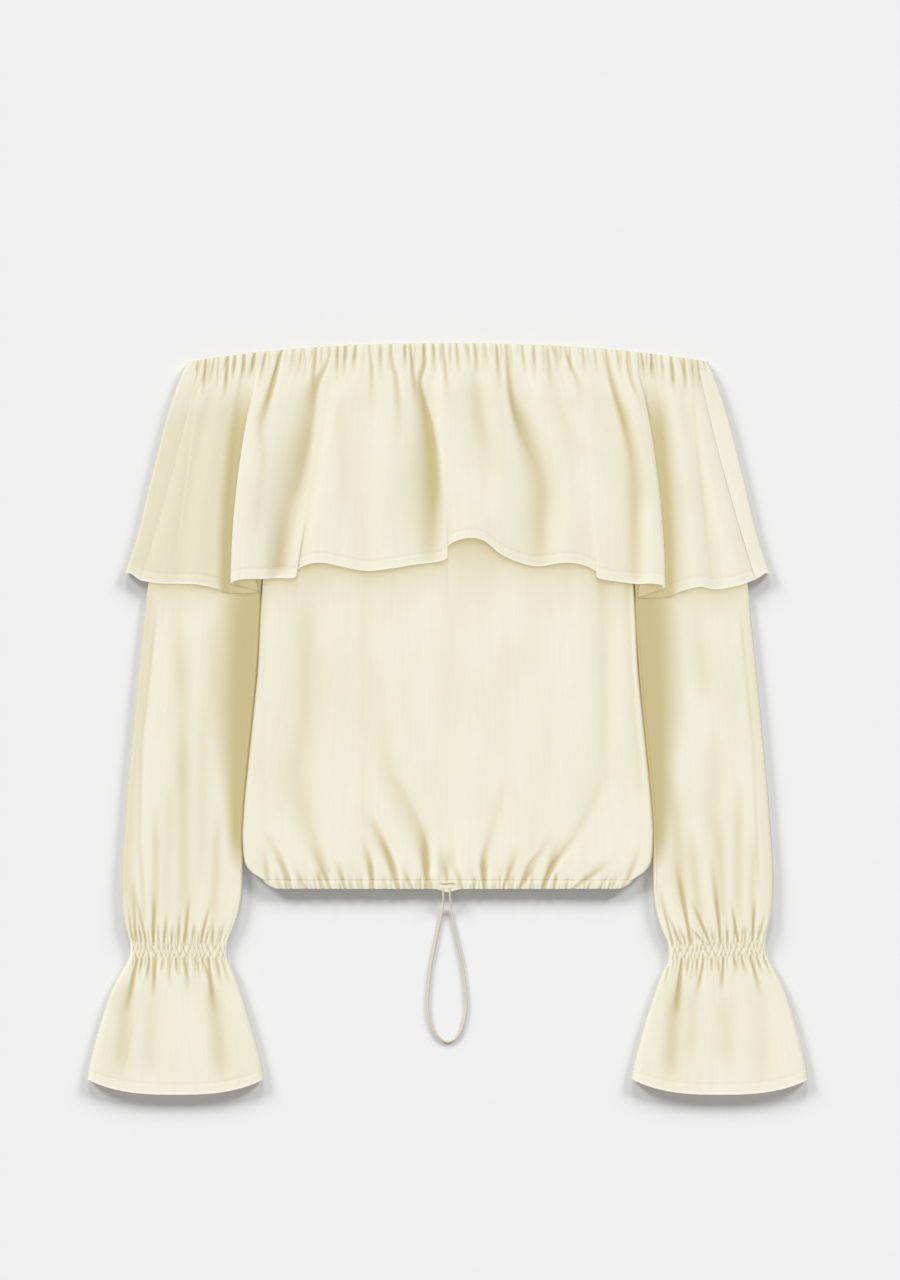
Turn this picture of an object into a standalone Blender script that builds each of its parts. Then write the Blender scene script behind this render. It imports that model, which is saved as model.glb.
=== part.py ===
"""A long-sleeve off-shoulder top with a deep flounce, laid flat on a surface with its front up.

Every length below is in millimetres. X runs across the top, Y from the hem to the neckline and
Z up from the surface. Each piece is drawn as the skin of its outer face, and its wall goes inwards.
"""

import math

import bpy

MM = 0.001

# Cloth
WALL = 1.1
SEAM = 0.3
LAYER = WALL + SEAM
CLOTH_ROUGHNESS = 0.85
CORD_ROUGHNESS = 0.6

# Neckline: a shallow arc, with an elastic channel along it
NECK_HALF = 235.0
NECK_TOP = 337.9
NECK_DROP = 16.5
NECK_ROUND = 2.3
NECK_CHANNEL = 9.0

# Heights of the outer faces above the surface
UNDER_FLOUNCE = 4.4
FLOUNCE_REST = 6.0
BODY_REST = 5.5
CHANNEL_REST = 5.2

# Flounce
GATHER_PITCH = 10.0
GATHER_RISE = 2.0
GATHER_SPREAD = (0.7, 1.25)
GATHER_REACH = 0.28
FOLD_FULL = 0.22
FOLD_HALF_WAY = 0.55
FOLD_TO_HEM = 0.6
BACK_EASE = 40.0
BACK_HEM = 128.0
CORNER_HEM = 131.5
FLOUNCE_ROWS_FINE = (0.0, 0.05, 0.11, 0.18)
FLOUNCE_ROWS_BROAD = (0.28, 0.42, 0.57, 0.72, 0.86, 1.0)
BACK_ROWS = (0.0, 0.11, 0.28, 0.57, 0.86, 1.0)

# Half width of the laid flounce at its side folds
#                 y      half
FLOUNCE_EDGE = (
    (131.5, 290.4),
    (169.0, 278.8),
    (229.0, 264.5),
    (283.0, 250.0),
    (330.0, 232.0),
)

# The flounce from its side seam in to the crest of the deep fold over each armhole. The cloth goes
# under that fold, turns back at its bend and comes out over it. X is measured from the middle,
# at the neckline, half way down and at the hem. The lifts are above FLOUNCE_REST, and gathers is
# the number of fine gathers up to the next row.
#  neck   half    hem    hem y   hem y   lift  lift  lift  gathers
#  x      way x   x      left    right   high  half  hem
ARMHOLE_FOLD = (
    (226.0, 249.0, 277.0, 125.0, 125.8, 0.0, 0.0, 0.0, 1),
    (216.0, 238.0, 260.0, 122.2, 119.8, 1.2, 1.6, 1.4, 1),
    (207.0, 228.0, 241.0, 121.8, 116.8, 0.8, 1.0, 1.0, 1),
    (198.0, 216.0, 226.0, 121.2, 119.0, 2.2, 3.4, 3.6, 1),
    (189.0, 204.0, 208.0, 117.5, 114.5, 1.6, 2.6, 2.6, 1),
    (183.0, 195.0, 199.0, 113.8, 110.0, 0.6, 0.3, 0.4, 0),
    (178.0, 187.0, 180.0, 113.2, 109.2, 0.6, 0.1, 0.2, 0),
    (175.5, 182.0, 170.5, 114.4, 109.6, 0.8, 0.5, 0.6, 0),
    (173.0, 185.0, 177.0, 117.5, 111.5, 1.4, 1.2, 1.3, 0),
    (171.0, 187.6, 188.0, 120.0, 115.0, 2.0, 1.9, 1.9, 0),
    (169.0, 188.6, 193.8, 121.6, 117.6, 2.6, 2.8, 3.0, 0),
    (166.5, 187.6, 195.4, 122.3, 118.6, 3.3, 4.6, 4.9, 0),
    (163.0, 184.0, 192.3, 124.0, 120.4, 3.9, 6.1, 6.5, 1),
    (156.0, 176.0, 182.0, 126.0, 122.0, 4.1, 6.8, 6.9, 1),
)

# The ridges and valleys of the flounce between the two armhole folds, from left to right.
#  neck   half    hem     hem    lift  lift  lift  gathers
#  x      way x   x       y      high  half  hem
FRONT_FOLDS = (
    (-143.0, -160.0, -164.0, 126.2, 3.2, 5.6, 5.4, 3),
    (-112.0, -131.0, -153.0, 127.0, 1.2, 1.4, 2.0, 1),
    (-103.0, -122.0, -137.0, 127.6, 1.6, 1.8, 4.8, 0),
    (-98.0, -117.0, -133.2, 136.0, 2.0, 2.4, 3.0, 1),
    (-88.0, -106.0, -114.0, 140.7, 3.2, 5.2, 5.2, 2),
    (-66.0, -77.0, -77.0, 133.6, 2.4, 3.8, 3.2, 2),
    (-46.0, -53.0, -53.0, 135.2, 3.2, 5.0, 4.6, 1),
    (-32.0, -33.0, -31.0, 138.8, 2.4, 3.0, 3.4, 1),
    (-21.0, -19.0, -12.0, 141.2, 0.6, 0.2, 2.4, 0),
    (-15.0, -10.5, -4.5, 142.8, 1.2, 1.2, 3.6, 0),
    (-10.0, -6.5, -0.4, 146.0, 3.0, 4.2, 6.0, 0),
    (-5.0, -1.0, 1.4, 157.0, 4.0, 5.4, 5.0, 1),
    (9.0, 15.0, 18.0, 162.8, 3.0, 4.4, 7.5, 1),
    (23.0, 30.0, 33.0, 160.0, 2.2, 3.4, 6.8, 1),
    (38.0, 46.0, 50.0, 147.0, 3.2, 4.6, 4.6, 2),
    (54.0, 75.0, 77.0, 137.8, 1.0, 0.8, 2.2, 2),
    (73.0, 97.0, 104.0, 140.6, 3.8, 5.0, 5.2, 2),
    (98.0, 113.0, 121.0, 138.8, 3.0, 4.4, 3.8, 2),
    (116.0, 124.0, 133.2, 133.0, 2.2, 3.8, 2.6, 1),
    (125.0, 131.0, 136.0, 126.6, 2.2, 3.6, 4.8, 2),
    (141.0, 160.0, 168.0, 121.8, 1.0, 1.4, 3.0, 1),
)

# Body: half width at the armhole seams and, below the underarm, at the side seams
#               y      half
BODY_EDGE = (
    (-144.9, 167.3),
    (-138.0, 177.5),
    (-130.0, 183.0),
    (-115.0, 185.0),
    (-101.0, 185.3),
    (-70.0, 183.2),
    (-29.0, 179.0),
    (5.0, 175.5),
    (46.0, 171.5),
    (97.0, 169.0),
    (135.0, 166.0),
    (240.0, 157.0),
    (330.0, 150.0),
)
UNDERARM = 135.0
CLOSED_BELOW = 116.0
FLAT_FROM = 100.0
BODY_TOP = 325.0

# Where the body's front comes out from under the flounce, blouses out and is drawn in at the hem
BODY_FREE = (112.0, 55.0)
VALLEYS_FREE = (112.0, 80.0)
BLOUSED = (-60.0, -122.0)
BLOUSE_RISE = 0.8
DRAWN_IN = (-126.0, -146.0)
DRAWN_IN_DROP = 1.1

BODY_ROWS_SPARSE = (240.0, 150.0)
BODY_ROWS_BROAD = (116.0, 92.0, 40.0, -12.0, -60.0)
BODY_ROWS_FINE = (-88.0, -112.0, -130.0, -139.0, -144.9)
BACK_BODY_ROWS = (240.0, 150.0, 116.0, 92.0, 40.0, -12.0, -60.0, -112.0, -130.0, -139.0, -144.9)

# The panels' outer skins part this much at the side seam, so that their walls clear each other
SIDE_SEAM = 1.7

BACK_SPANS = 8
HEM_GATHERS = 28
HEM_GATHER_RISE = 2.0
HEM_GATHER_SPREAD = (0.6, 1.2)
HEM_GATHER_REACH = (45.0, 95.0)
BUTTONHOLE_FLAT = 11.0
BUTTONHOLE_EASE = 6.0

# Soft valleys down the body, each from one point to another
#               x from   y from  x to    y to    depth  width
BODY_VALLEYS = (
    (-126.0, 110.0, -120.0, -60.0, 0.9, 14.0),
    (-44.0, 20.0, -24.0, -150.0, 1.0, 13.0),
    (60.0, 60.0, 84.0, -70.0, 0.5, 18.0),
    (146.0, 100.0, 150.0, -20.0, 0.6, 8.0),
    (174.0, -112.0, 128.0, -140.0, 0.8, 5.0),
)

# Hem channel: its rows from the seam with the body down to the edge
#               y       half
HEM_ROWS = (
    (-145.2, 167.0),
    (-149.2, 163.4),
    (-152.8, 157.0),
)
HEM_DIP = 3.0
HEM_DIP_WIDTH = 7.0
HEM_EDGE_GATHER = 0.6

# Sleeve, from the neckline down to the wrist. X is measured from the middle of the top.
#               y       inner   outer   rest
SLEEVE_ROWS = (
    (311.0, 151.4, 231.0, UNDER_FLOUNCE),
    (140.0, 166.2, 266.5, UNDER_FLOUNCE),
    (116.0, 168.6, 271.0, UNDER_FLOUNCE),
    (97.0, 169.6, 272.6, 4.7),
    (46.0, 172.4, 278.0, 5.3),
    (-12.0, 177.9, 283.6, 5.5),
    (-70.0, 183.8, 288.8, 5.6),
    (-108.0, 186.0, 291.6, 5.8),
    (-134.0, 185.0, 293.2, 6.0),
    (-158.0, 185.6, 293.2, 6.0),
    (-179.0, 189.8, 292.0, 5.6),
    (-199.8, 198.2, 287.0, 5.0),
)
SLEEVE_FINE_BELOW = -100.0
SLEEVE_GATHERS = 15
SLEEVE_GATHER_RISE = 1.7
SLEEVE_GATHER_SPREAD = (0.6, 1.2)
SLEEVE_GATHER_REACH = (30.0, 75.0)
SLEEVE_INNER_DIP = 0.9
SLEEVE_INNER_SHARE = 0.35
SLEEVE_CROWN = 0.6
SLEEVE_CROWN_FREE = (116.0, 60.0)
SLEEVE_CROWN_IN_GATHERS = 0.3
SLEEVE_SEAM_HALF = 0.25
SLEEVE_BACK_SHARES = (0.0, 0.33, 0.67, 1.0)

# Shirred wrist, whose elastic draws the cloth in along its rows
#               y       inner   outer   rest
WRIST_ROWS = (
    (-200.1, 198.4, 286.8, 5.0),
    (-206.0, 198.9, 286.4, 4.6),
    (-212.0, 198.7, 286.6, 4.6),
    (-217.8, 197.8, 287.8, 5.0),
)
WRIST_GATHER_RISE = 1.5
WRIST_TILT = {-1: 0.0, 1: 5.6}
TILT_FROM = -90.0

# Cuff frill, by share of the way from the wrist to its hem
#               share  half   centre
CUFF_ROWS = (
    (0.0, 45.2, 242.9),
    (0.07, 49.6, 243.2),
    (0.17, 54.6, 244.0),
    (0.3, 59.9, 244.8),
    (0.47, 65.8, 245.0),
    (0.66, 71.6, 245.1),
    (0.84, 76.5, 245.2),
    (1.0, 79.2, 245.2),
)
CUFF_FINE_ROWS = 4
CUFF_TOP = -218.1
CUFF_HEM = -338.0
CUFF_CORNER_RISE = 13.6
CUFF_HEM_ROUND = 2.8
CUFF_REST = 4.9
CUFF_GATHER_RISE = 1.6
CUFF_GATHER_REACH = 0.42
CUFF_FLUTE = 0.9
CUFF_FLUTES = 5.5
CUFF_FLUTE_SHIFT = 0.15
CUFF_FLARE = (0.1, 0.6)
CUFF_FLARE_RISE = 0.6

# Drawcord and the stitched hole that it comes out of
CORD_ACROSS = 1.8
CORD_STEP = 4.6
HOLE_Y = -149.4
HOLE_X = -1.0
HOLE_LENGTH = 13.6
HOLE_HEIGHT = 3.4
HOLE_STITCH = 1.0
HOLE_END_POINTS = 7

# The route of the loop, chosen by hand from one strand's start to the other's
#             x      y       height
CORD_ROUTE = (
    (-4.2, -152.5, 7.1),
    (-4.2, -156.6, 7.0),
    (-4.3, -162.0, 5.6),
    (-4.8, -170.0, 2.4),
    (-6.4, -179.0, 1.05),
    (-8.6, -190.1, 0.95),
    (-12.6, -209.0, 0.95),
    (-15.8, -226.5, 0.95),
    (-17.6, -245.4, 0.95),
    (-18.0, -258.1, 0.95),
    (-16.4, -272.0, 0.95),
    (-10.8, -284.6, 0.95),
    (-0.6, -291.4, 0.95),
    (9.0, -286.0, 0.95),
    (15.0, -271.6, 0.95),
    (16.8, -258.1, 0.95),
    (15.8, -241.4, 0.95),
    (13.3, -222.5, 0.95),
    (10.2, -207.2, 0.95),
    (5.6, -187.4, 0.95),
    (3.8, -178.0, 1.05),
    (2.6, -169.4, 2.6),
    (1.9, -162.0, 5.6),
    (1.6, -156.6, 7.0),
    (1.6, -152.5, 7.1),
)

# Colours, in linear light
CREAM = (0.84, 0.79, 0.63)
CREAM_SHADE = (0.8, 0.74, 0.56)
CREAM_THREAD = (0.78, 0.71, 0.5)


def smooth(start, end, at):
    """0 before start and 1 past end, with a soft step between, in either direction."""
    share = min(max((at - start) / (end - start), 0.0), 1.0)
    return share * share * (3.0 - 2.0 * share)


def mix(a, b, share):
    return a + (b - a) * share


def uneven(number):
    """A spread of shares between 0 and 1, the same one for the same number."""
    return (number * 0.618034 + 0.31) % 1.0


def spline(rows, at):
    """The columns after the first, read on a smooth curve through the rows by the first column."""
    last = len(rows) - 1
    low = 0
    while low < last - 1 and rows[low + 1][0] <= at:
        low += 1
    a, b = rows[low], rows[low + 1]
    before, after = rows[max(low - 1, 0)], rows[min(low + 2, last)]
    span = b[0] - a[0]
    t = (at - a[0]) / span
    read = []
    for column in range(1, len(a)):
        start_slope = (b[column] - before[column]) / (b[0] - before[0]) * span
        end_slope = (after[column] - a[column]) / (after[0] - a[0]) * span
        rise = b[column] - a[column]
        curve = (start_slope + end_slope - 2.0 * rise) * t + 3.0 * rise - 2.0 * start_slope - end_slope
        read.append(a[column] + t * (start_slope + t * curve))
    return read


def rising(rows):
    """The same rows with the first column going up, as spline reads them."""
    return tuple(sorted(rows))


def neckline(x):
    return NECK_TOP - NECK_DROP * abs(x / NECK_HALF) ** NECK_ROUND


def bend(edge, side, top, bottom):
    """Three points round a folded edge, from its upper face to its lower one."""
    radius = (top - bottom) / 2.0
    points = []
    for degrees in (45.0, 90.0, 135.0):
        turn = math.radians(degrees)
        out = radius * (math.sin(turn) - 1.0)
        points.append((edge + side * out, bottom + radius + radius * math.cos(turn)))
    return points


def material(name, colour, roughness):
    made = bpy.data.materials.new(name)
    made.use_nodes = True
    shader = made.node_tree.nodes["Principled BSDF"]
    shader.inputs["Base Color"].default_value = (*colour, 1.0)
    shader.inputs["Roughness"].default_value = roughness
    shader.inputs["Metallic"].default_value = 0.0
    return made


def add(obj, colour, roughness):
    """Give an object its own material and put it in the top's collection."""
    obj.data.materials.append(material(obj.name, colour, roughness))
    bpy.data.collections["long_sleeve_top"].objects.link(obj)


def strip(upper, lower, closed):
    """Faces between two rows of columns. A column that only one row has is taken in between."""
    shared = [column for column in upper if column in lower]
    pairs = list(zip(shared, shared[1:]))
    if closed:
        pairs.append((shared[-1], shared[0]))
    above, below = list(upper), list(lower)
    faces = []
    for a, b in pairs:
        extra_above = above[above.index(a) + 1 : above.index(b)]
        extra_below = below[below.index(a) + 1 : below.index(b)]
        if extra_above:
            middle = upper[extra_above[0]]
            faces.append((upper[a], lower[a], middle))
            faces.append((middle, lower[a], lower[b]))
            faces.append((middle, lower[b], upper[b]))
        elif extra_below:
            middle = lower[extra_below[0]]
            faces.append((upper[a], lower[a], middle))
            faces.append((upper[a], middle, upper[b]))
            faces.append((upper[b], middle, lower[b]))
        else:
            faces.append((upper[a], lower[a], lower[b], upper[b]))
    return faces


def cloth(name, rows, closed_from=None, mirrored=False, colour=CREAM):
    """A piece of cloth from rows of named columns, each a dict of column to point.

    The rows run down the piece. Rows from closed_from on are rings.
    """
    points, numbered = [], []
    for row in rows:
        numbered.append({})
        for column, (x, y, z) in row.items():
            numbered[-1][column] = len(points)
            points.append(((-x if mirrored else x) * MM, y * MM, z * MM))
    faces = []
    for number, (upper, lower) in enumerate(zip(numbered, numbered[1:])):
        closed = closed_from is not None and number >= closed_from
        faces += strip(upper, lower, closed)
    if mirrored:
        faces = [tuple(reversed(face)) for face in faces]
    mesh = bpy.data.meshes.new(name)
    mesh.from_pydata(points, [], faces)
    mesh.shade_smooth()
    obj = bpy.data.objects.new(name, mesh)
    wall = obj.modifiers.new("wall", "SOLIDIFY")
    wall.thickness = WALL * MM
    wall.offset = -1.0
    wall.use_even_offset = True
    wall.use_quality_normals = True
    add(obj, colour, CLOTH_ROUGHNESS)
    return obj


# Flounce


def flounce_folds():
    """Rows of the whole front flounce for spline, and the gathers between each row and the next."""
    left, right, side_gathers = [], [], []
    for neck, half_way, hem, left_y, right_y, high, half, low, gathers in ARMHOLE_FOLD:
        left.append((-neck, -half_way, -hem, left_y, high, half, low))
        right.insert(0, (neck, half_way, hem, right_y, high, half, low))
        side_gathers.append(gathers)
    front = [row[:-1] for row in FRONT_FOLDS]
    gathers = side_gathers + [row[-1] for row in FRONT_FOLDS] + side_gathers[-2::-1]
    rows = [(number, *row) for number, row in enumerate(left + front + right)]
    return rows, gathers


FOLDS, GATHERS = flounce_folds()


def flounce_columns(fine):
    """Places along the folds: at each fold, between the gathers and, if fine, on their crests."""
    places = []
    for number, gathers in enumerate(GATHERS):
        steps = max(gathers, 1)
        for step in range(steps):
            places.append(number + step / steps)
            if fine and gathers:
                places.append(number + (step + 0.5) / steps)
    return places + [float(len(GATHERS))]


def gather_rise(place):
    """The height of the fine gather at a place along the folds of the flounce."""
    number = min(int(place), len(GATHERS) - 1)
    gathers = GATHERS[number]
    if not gathers:
        return 0.0
    pitch = (FOLDS[number + 1][1] - FOLDS[number][1]) / gathers
    along = (place - number) * gathers
    size = min(pitch / GATHER_PITCH, 1.1) * mix(*GATHER_SPREAD, uneven(number * 3 + int(along)))
    return GATHER_RISE * size * math.sin(math.pi * (along % 1.0)) ** 2


def flounce_point(place, share):
    """A point of the front flounce, by its place along the folds and the share of the way down."""
    neck, half_way, hem, hem_y, high, half, low = spline(FOLDS, place)
    down = share
    x = neck * (1 - down) * (1 - 2 * down) + half_way * 4 * down * (1 - down) + hem * down * (2 * down - 1)
    y = mix(neckline(neck) - NECK_CHANNEL - SEAM, hem_y, down)
    lift = high * smooth(0.0, FOLD_FULL, down)
    lift = mix(lift, half, smooth(FOLD_FULL, FOLD_HALF_WAY, down))
    lift = mix(lift, low, smooth(FOLD_TO_HEM, 1.0, down))
    gather = gather_rise(place) * (1.0 - smooth(0.0, GATHER_REACH, down))
    return (x, y, FLOUNCE_REST + lift + gather)


def make_flounce_front():
    rows = []
    for share in FLOUNCE_ROWS_FINE:
        rows.append({place: flounce_point(place, share) for place in flounce_columns(True)})
    for share in FLOUNCE_ROWS_BROAD:
        rows.append({place: flounce_point(place, share) for place in flounce_columns(False)})
    return cloth("flounce_front", rows)


def back_spread(half, spans=BACK_SPANS):
    """X across a back panel, from right to left."""
    return [half * (1.0 - 2.0 * step / spans) for step in range(spans + 1)]


def make_flounce_back():
    """The back flounce, which comes round each side fold to its seam on the front."""
    edge = rising(FLOUNCE_EDGE)
    radius = FLOUNCE_REST / 2.0
    last = len(GATHERS)
    rows = []
    for share in BACK_ROWS:
        row = {}
        half = spline(edge, mix(neckline(NECK_HALF) - NECK_CHANNEL, CORNER_HEM, share))[0]
        side_y = mix(neckline(half - radius) - NECK_CHANNEL - SEAM, CORNER_HEM, share)
        seam_x, seam_y, _ = flounce_point(last, share)
        row["right seam"] = (seam_x + SEAM, seam_y, FLOUNCE_REST)
        row["right flap"] = (half - radius, side_y, FLOUNCE_REST)
        for number, (x, z) in enumerate(bend(half, 1, FLOUNCE_REST, 0.0)):
            row["right bend", number] = (x, side_y, z)
        for number, x in enumerate(back_spread(half - radius)):
            inner = smooth(half - radius, half - BACK_EASE, abs(x))
            top = neckline(x) - NECK_CHANNEL - SEAM
            y = mix(side_y, mix(top, BACK_HEM, share), inner)
            row["back", number] = (x, y, 0.0)
        for number, (x, z) in enumerate(reversed(bend(-half, -1, FLOUNCE_REST, 0.0))):
            row["left bend", number] = (x, side_y, z)
        row["left flap"] = (radius - half, side_y, FLOUNCE_REST)
        seam_x, seam_y, _ = flounce_point(0, share)
        row["left seam"] = (seam_x - SEAM, seam_y, FLOUNCE_REST)
        rows.append(row)
    return cloth("flounce_back", rows)


def make_neck_channel():
    """The elastic channel round the neckline, whose crimps run on into the flounce's gathers."""
    radius = FLOUNCE_REST / 2.0
    rows = []
    for down, crimp in ((0.0, 0.6), (NECK_CHANNEL, 1.0)):
        row = {}
        for place in flounce_columns(True):
            x = spline(FOLDS, place)[0]
            row[place] = (x, neckline(x) - down, FLOUNCE_REST + crimp * gather_rise(place))
        half = NECK_HALF + 0.1 * down
        row["right flat"] = (half - radius, neckline(half - radius) - down, FLOUNCE_REST)
        for number, (x, z) in enumerate(bend(half, 1, FLOUNCE_REST, 0.0)):
            row["right bend", number] = (x, neckline(x) - down, z)
        for number, x in enumerate(back_spread(half - radius)):
            row["back", number] = (x, neckline(x) - down, 0.0)
        for number, (x, z) in enumerate(reversed(bend(-half, -1, FLOUNCE_REST, 0.0))):
            row["left bend", number] = (x, neckline(x) - down, z)
        row["left flat"] = (radius - half, neckline(half - radius) - down, FLOUNCE_REST)
        rows.append(row)
    return cloth("neck_channel", rows, closed_from=0, colour=CREAM_SHADE)


# Body


def under_height(y):
    """The height of an underside: on the surface, or on the back flounce above its hem."""
    return LAYER * smooth(FLAT_FROM, BACK_HEM - 3.0, y)


def valleys(x, y):
    """How far the soft valleys press the body's front down at a point."""
    depth = 0.0
    for x_from, y_from, x_to, y_to, deep, width in BODY_VALLEYS:
        share = (y - y_from) / (y_to - y_from)
        off = (x - mix(x_from, x_to, share)) / width
        ends = smooth(-0.25, 0.25, share) * (1.0 - smooth(0.75, 1.25, share))
        depth += deep * ends * math.exp(-off * off)
    return depth


def hem_gather(place):
    """The height of the hem's gather at a place, one for each whole number, and its reach up."""
    number = min(int(place), HEM_GATHERS - 1)
    x = (place / HEM_GATHERS * 2.0 - 1.0) * HEM_ROWS[0][1]
    size = smooth(BUTTONHOLE_FLAT - BUTTONHOLE_EASE, BUTTONHOLE_FLAT, abs(x))
    size *= mix(*HEM_GATHER_SPREAD, uneven(number))
    rise = HEM_GATHER_RISE * size * math.sin(math.pi * (place - number)) ** 2
    return rise, mix(*HEM_GATHER_REACH, uneven(number * 5))


def hem_columns(step):
    """Places across the body, a half, one or two gathers apart."""
    return [number * step for number in range(round(HEM_GATHERS / step) + 1)]


def body_front_height(x, y, place):
    top = mix(UNDER_FLOUNCE, BODY_REST, smooth(*BODY_FREE, y))
    top += BLOUSE_RISE * smooth(*BLOUSED, y) - DRAWN_IN_DROP * smooth(*DRAWN_IN, y)
    top -= valleys(x, y) * smooth(*VALLEYS_FREE, y)
    rise, reach = hem_gather(place)
    return top + rise * (1.0 - smooth(0.0, reach, y - BODY_EDGE[0][0]))


def body_side(half, y, front):
    """Points from the flat of a body panel out to its side seam, on the front or the back."""
    top = body_front_height(half, y, 0.0)
    bottom = under_height(y)
    radius = (top - bottom) / 2.0
    level = top if front else bottom
    middle = bottom + radius + (SIDE_SEAM if front else -SIDE_SEAM) / 2.0
    closing = smooth(UNDERARM, CLOSED_BELOW, y)
    points = []
    for degrees in (45.0, 90.0):
        turn = math.radians(degrees)
        x = half - radius + radius * math.sin(turn)
        z = middle + (level - middle) * math.cos(turn)
        points.append((x, mix(level, z, closing)))
    return half - radius, points


def body_y(y, x):
    """The topmost row follows the neckline, and the others run straight across."""
    return neckline(x) - NECK_CHANNEL - SEAM if y is None else y


def make_body_front():
    edge = rising(BODY_EDGE)
    spacing = {y: 2 for y in (None, *BODY_ROWS_SPARSE)}
    spacing.update({y: 1 for y in BODY_ROWS_BROAD})
    spacing.update({y: 0.5 for y in BODY_ROWS_FINE})
    rows = []
    for y_row, step in spacing.items():
        y = BODY_TOP if y_row is None else y_row
        half = spline(edge, y)[0]
        flat, side = body_side(half, y, True)
        row = {}
        for number, (x, z) in reversed(list(enumerate(side))):
            row["left side", number] = (-x, body_y(y_row, x), z)
        for place in hem_columns(step):
            x = flat * (place / HEM_GATHERS * 2.0 - 1.0)
            row[place] = (x, body_y(y_row, x), body_front_height(x, y, place))
        for number, (x, z) in enumerate(side):
            row["right side", number] = (x, body_y(y_row, x), z)
        rows.append(row)
    return cloth("body_front", rows)


def make_body_back():
    edge = rising(BODY_EDGE)
    rows = []
    for y_row in (None, *BACK_BODY_ROWS):
        y = BODY_TOP if y_row is None else y_row
        flat, side = body_side(spline(edge, y)[0], y, False)
        row = {}
        for number, (x, z) in reversed(list(enumerate(side))):
            row["right side", number] = (x, body_y(y_row, x), z)
        for number, x in enumerate(back_spread(flat)):
            row["back", number] = (x, body_y(y_row, x), under_height(y))
        for number, (x, z) in enumerate(side):
            row["left side", number] = (-x, body_y(y_row, x), z)
        rows.append(row)
    return cloth("body_back", rows, colour=CREAM_SHADE)


def hem_y(x, y, down):
    """The hem channel's rows, with its edge a little lower where the cord pulls on it."""
    return y - HEM_DIP * down * math.exp(-((x / HEM_DIP_WIDTH) ** 2))


def make_hem_channel():
    rows = []
    for number_down, (y, half) in enumerate(HEM_ROWS):
        down = number_down / (len(HEM_ROWS) - 1)
        radius = CHANNEL_REST / 2.0
        flat = half - radius
        row = {}
        for place in hem_columns(0.5):
            x = flat * (place / HEM_GATHERS * 2.0 - 1.0)
            z = CHANNEL_REST + hem_gather(place)[0] * mix(1.0, HEM_EDGE_GATHER, down)
            row[place] = (x, hem_y(x, y, down), z)
        for number, (x, z) in enumerate(bend(half, 1, CHANNEL_REST, 0.0)):
            row["right bend", number] = (x, y, z)
        for number, x in enumerate(back_spread(flat)):
            row["back", number] = (x, y, 0.0)
        for number, (x, z) in enumerate(reversed(bend(-half, -1, CHANNEL_REST, 0.0))):
            row["left bend", number] = (x, y, z)
        rows.append(row)
    return cloth("hem_channel", rows, closed_from=0, colour=CREAM_SHADE)


# Sleeves, wrists and cuffs. Each is drawn for the right of the picture, and mirrored for the left.


def cross_gather(place, rise):
    """The height of a sleeve or cuff gather at a place, one for each whole number."""
    number = min(int(place), SLEEVE_GATHERS - 1)
    size = rise * mix(*SLEEVE_GATHER_SPREAD, uneven(number + 2))
    return size * math.sin(math.pi * (place - number)) ** 2


def cross_columns(fine):
    step = 1 if fine else 2
    return [number / 2.0 for number in range(0, 2 * SLEEVE_GATHERS + 1, step)]


def cross_ring(inner, outer, top, bottom, fine, height, closing=1.0):
    """A ring round a flattened sleeve, as column to x and z, from its inner edge over the front.

    height gives the front's height above the surface at a place. closing is 0 where the inner
    edge is open to the armhole seams, and 1 where the underarm seam has closed it.
    """
    radius = (top - bottom) / 2.0
    middle = bottom + radius
    ring = {}
    for name, turn, level in (("inner top", 90.0, top), ("inner upper", 45.0, top)):
        out = radius * (1.0 - math.sin(math.radians(turn)))
        seam = middle + SLEEVE_SEAM_HALF
        z = seam + (level - seam) * math.cos(math.radians(turn))
        ring[name] = (inner + out, mix(level, z, closing))
    for place in cross_columns(fine):
        ring[place] = (mix(inner + radius, outer - radius, place / SLEEVE_GATHERS), height(place))
    for number, (x, z) in enumerate(bend(outer, 1, top, bottom)):
        ring["outer bend", number] = (x, z)
    for number, share in enumerate(SLEEVE_BACK_SHARES):
        ring["back", number] = (mix(outer - radius, inner + radius, share), bottom)
    for name, turn, level in (("inner lower", 45.0, bottom), ("inner bottom", 90.0, bottom)):
        out = radius * (1.0 - math.sin(math.radians(turn)))
        seam = middle - SLEEVE_SEAM_HALF
        z = seam + (level - seam) * math.cos(math.radians(turn))
        ring[name] = (inner + out, mix(level, z, closing))
    return ring


def tilt(side, x, y, share):
    """The wrist seam of one sleeve lies at a slant."""
    return y + WRIST_TILT[side] * share * (x - CUFF_ROWS[0][2]) / (2.0 * CUFF_ROWS[0][1])


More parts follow.
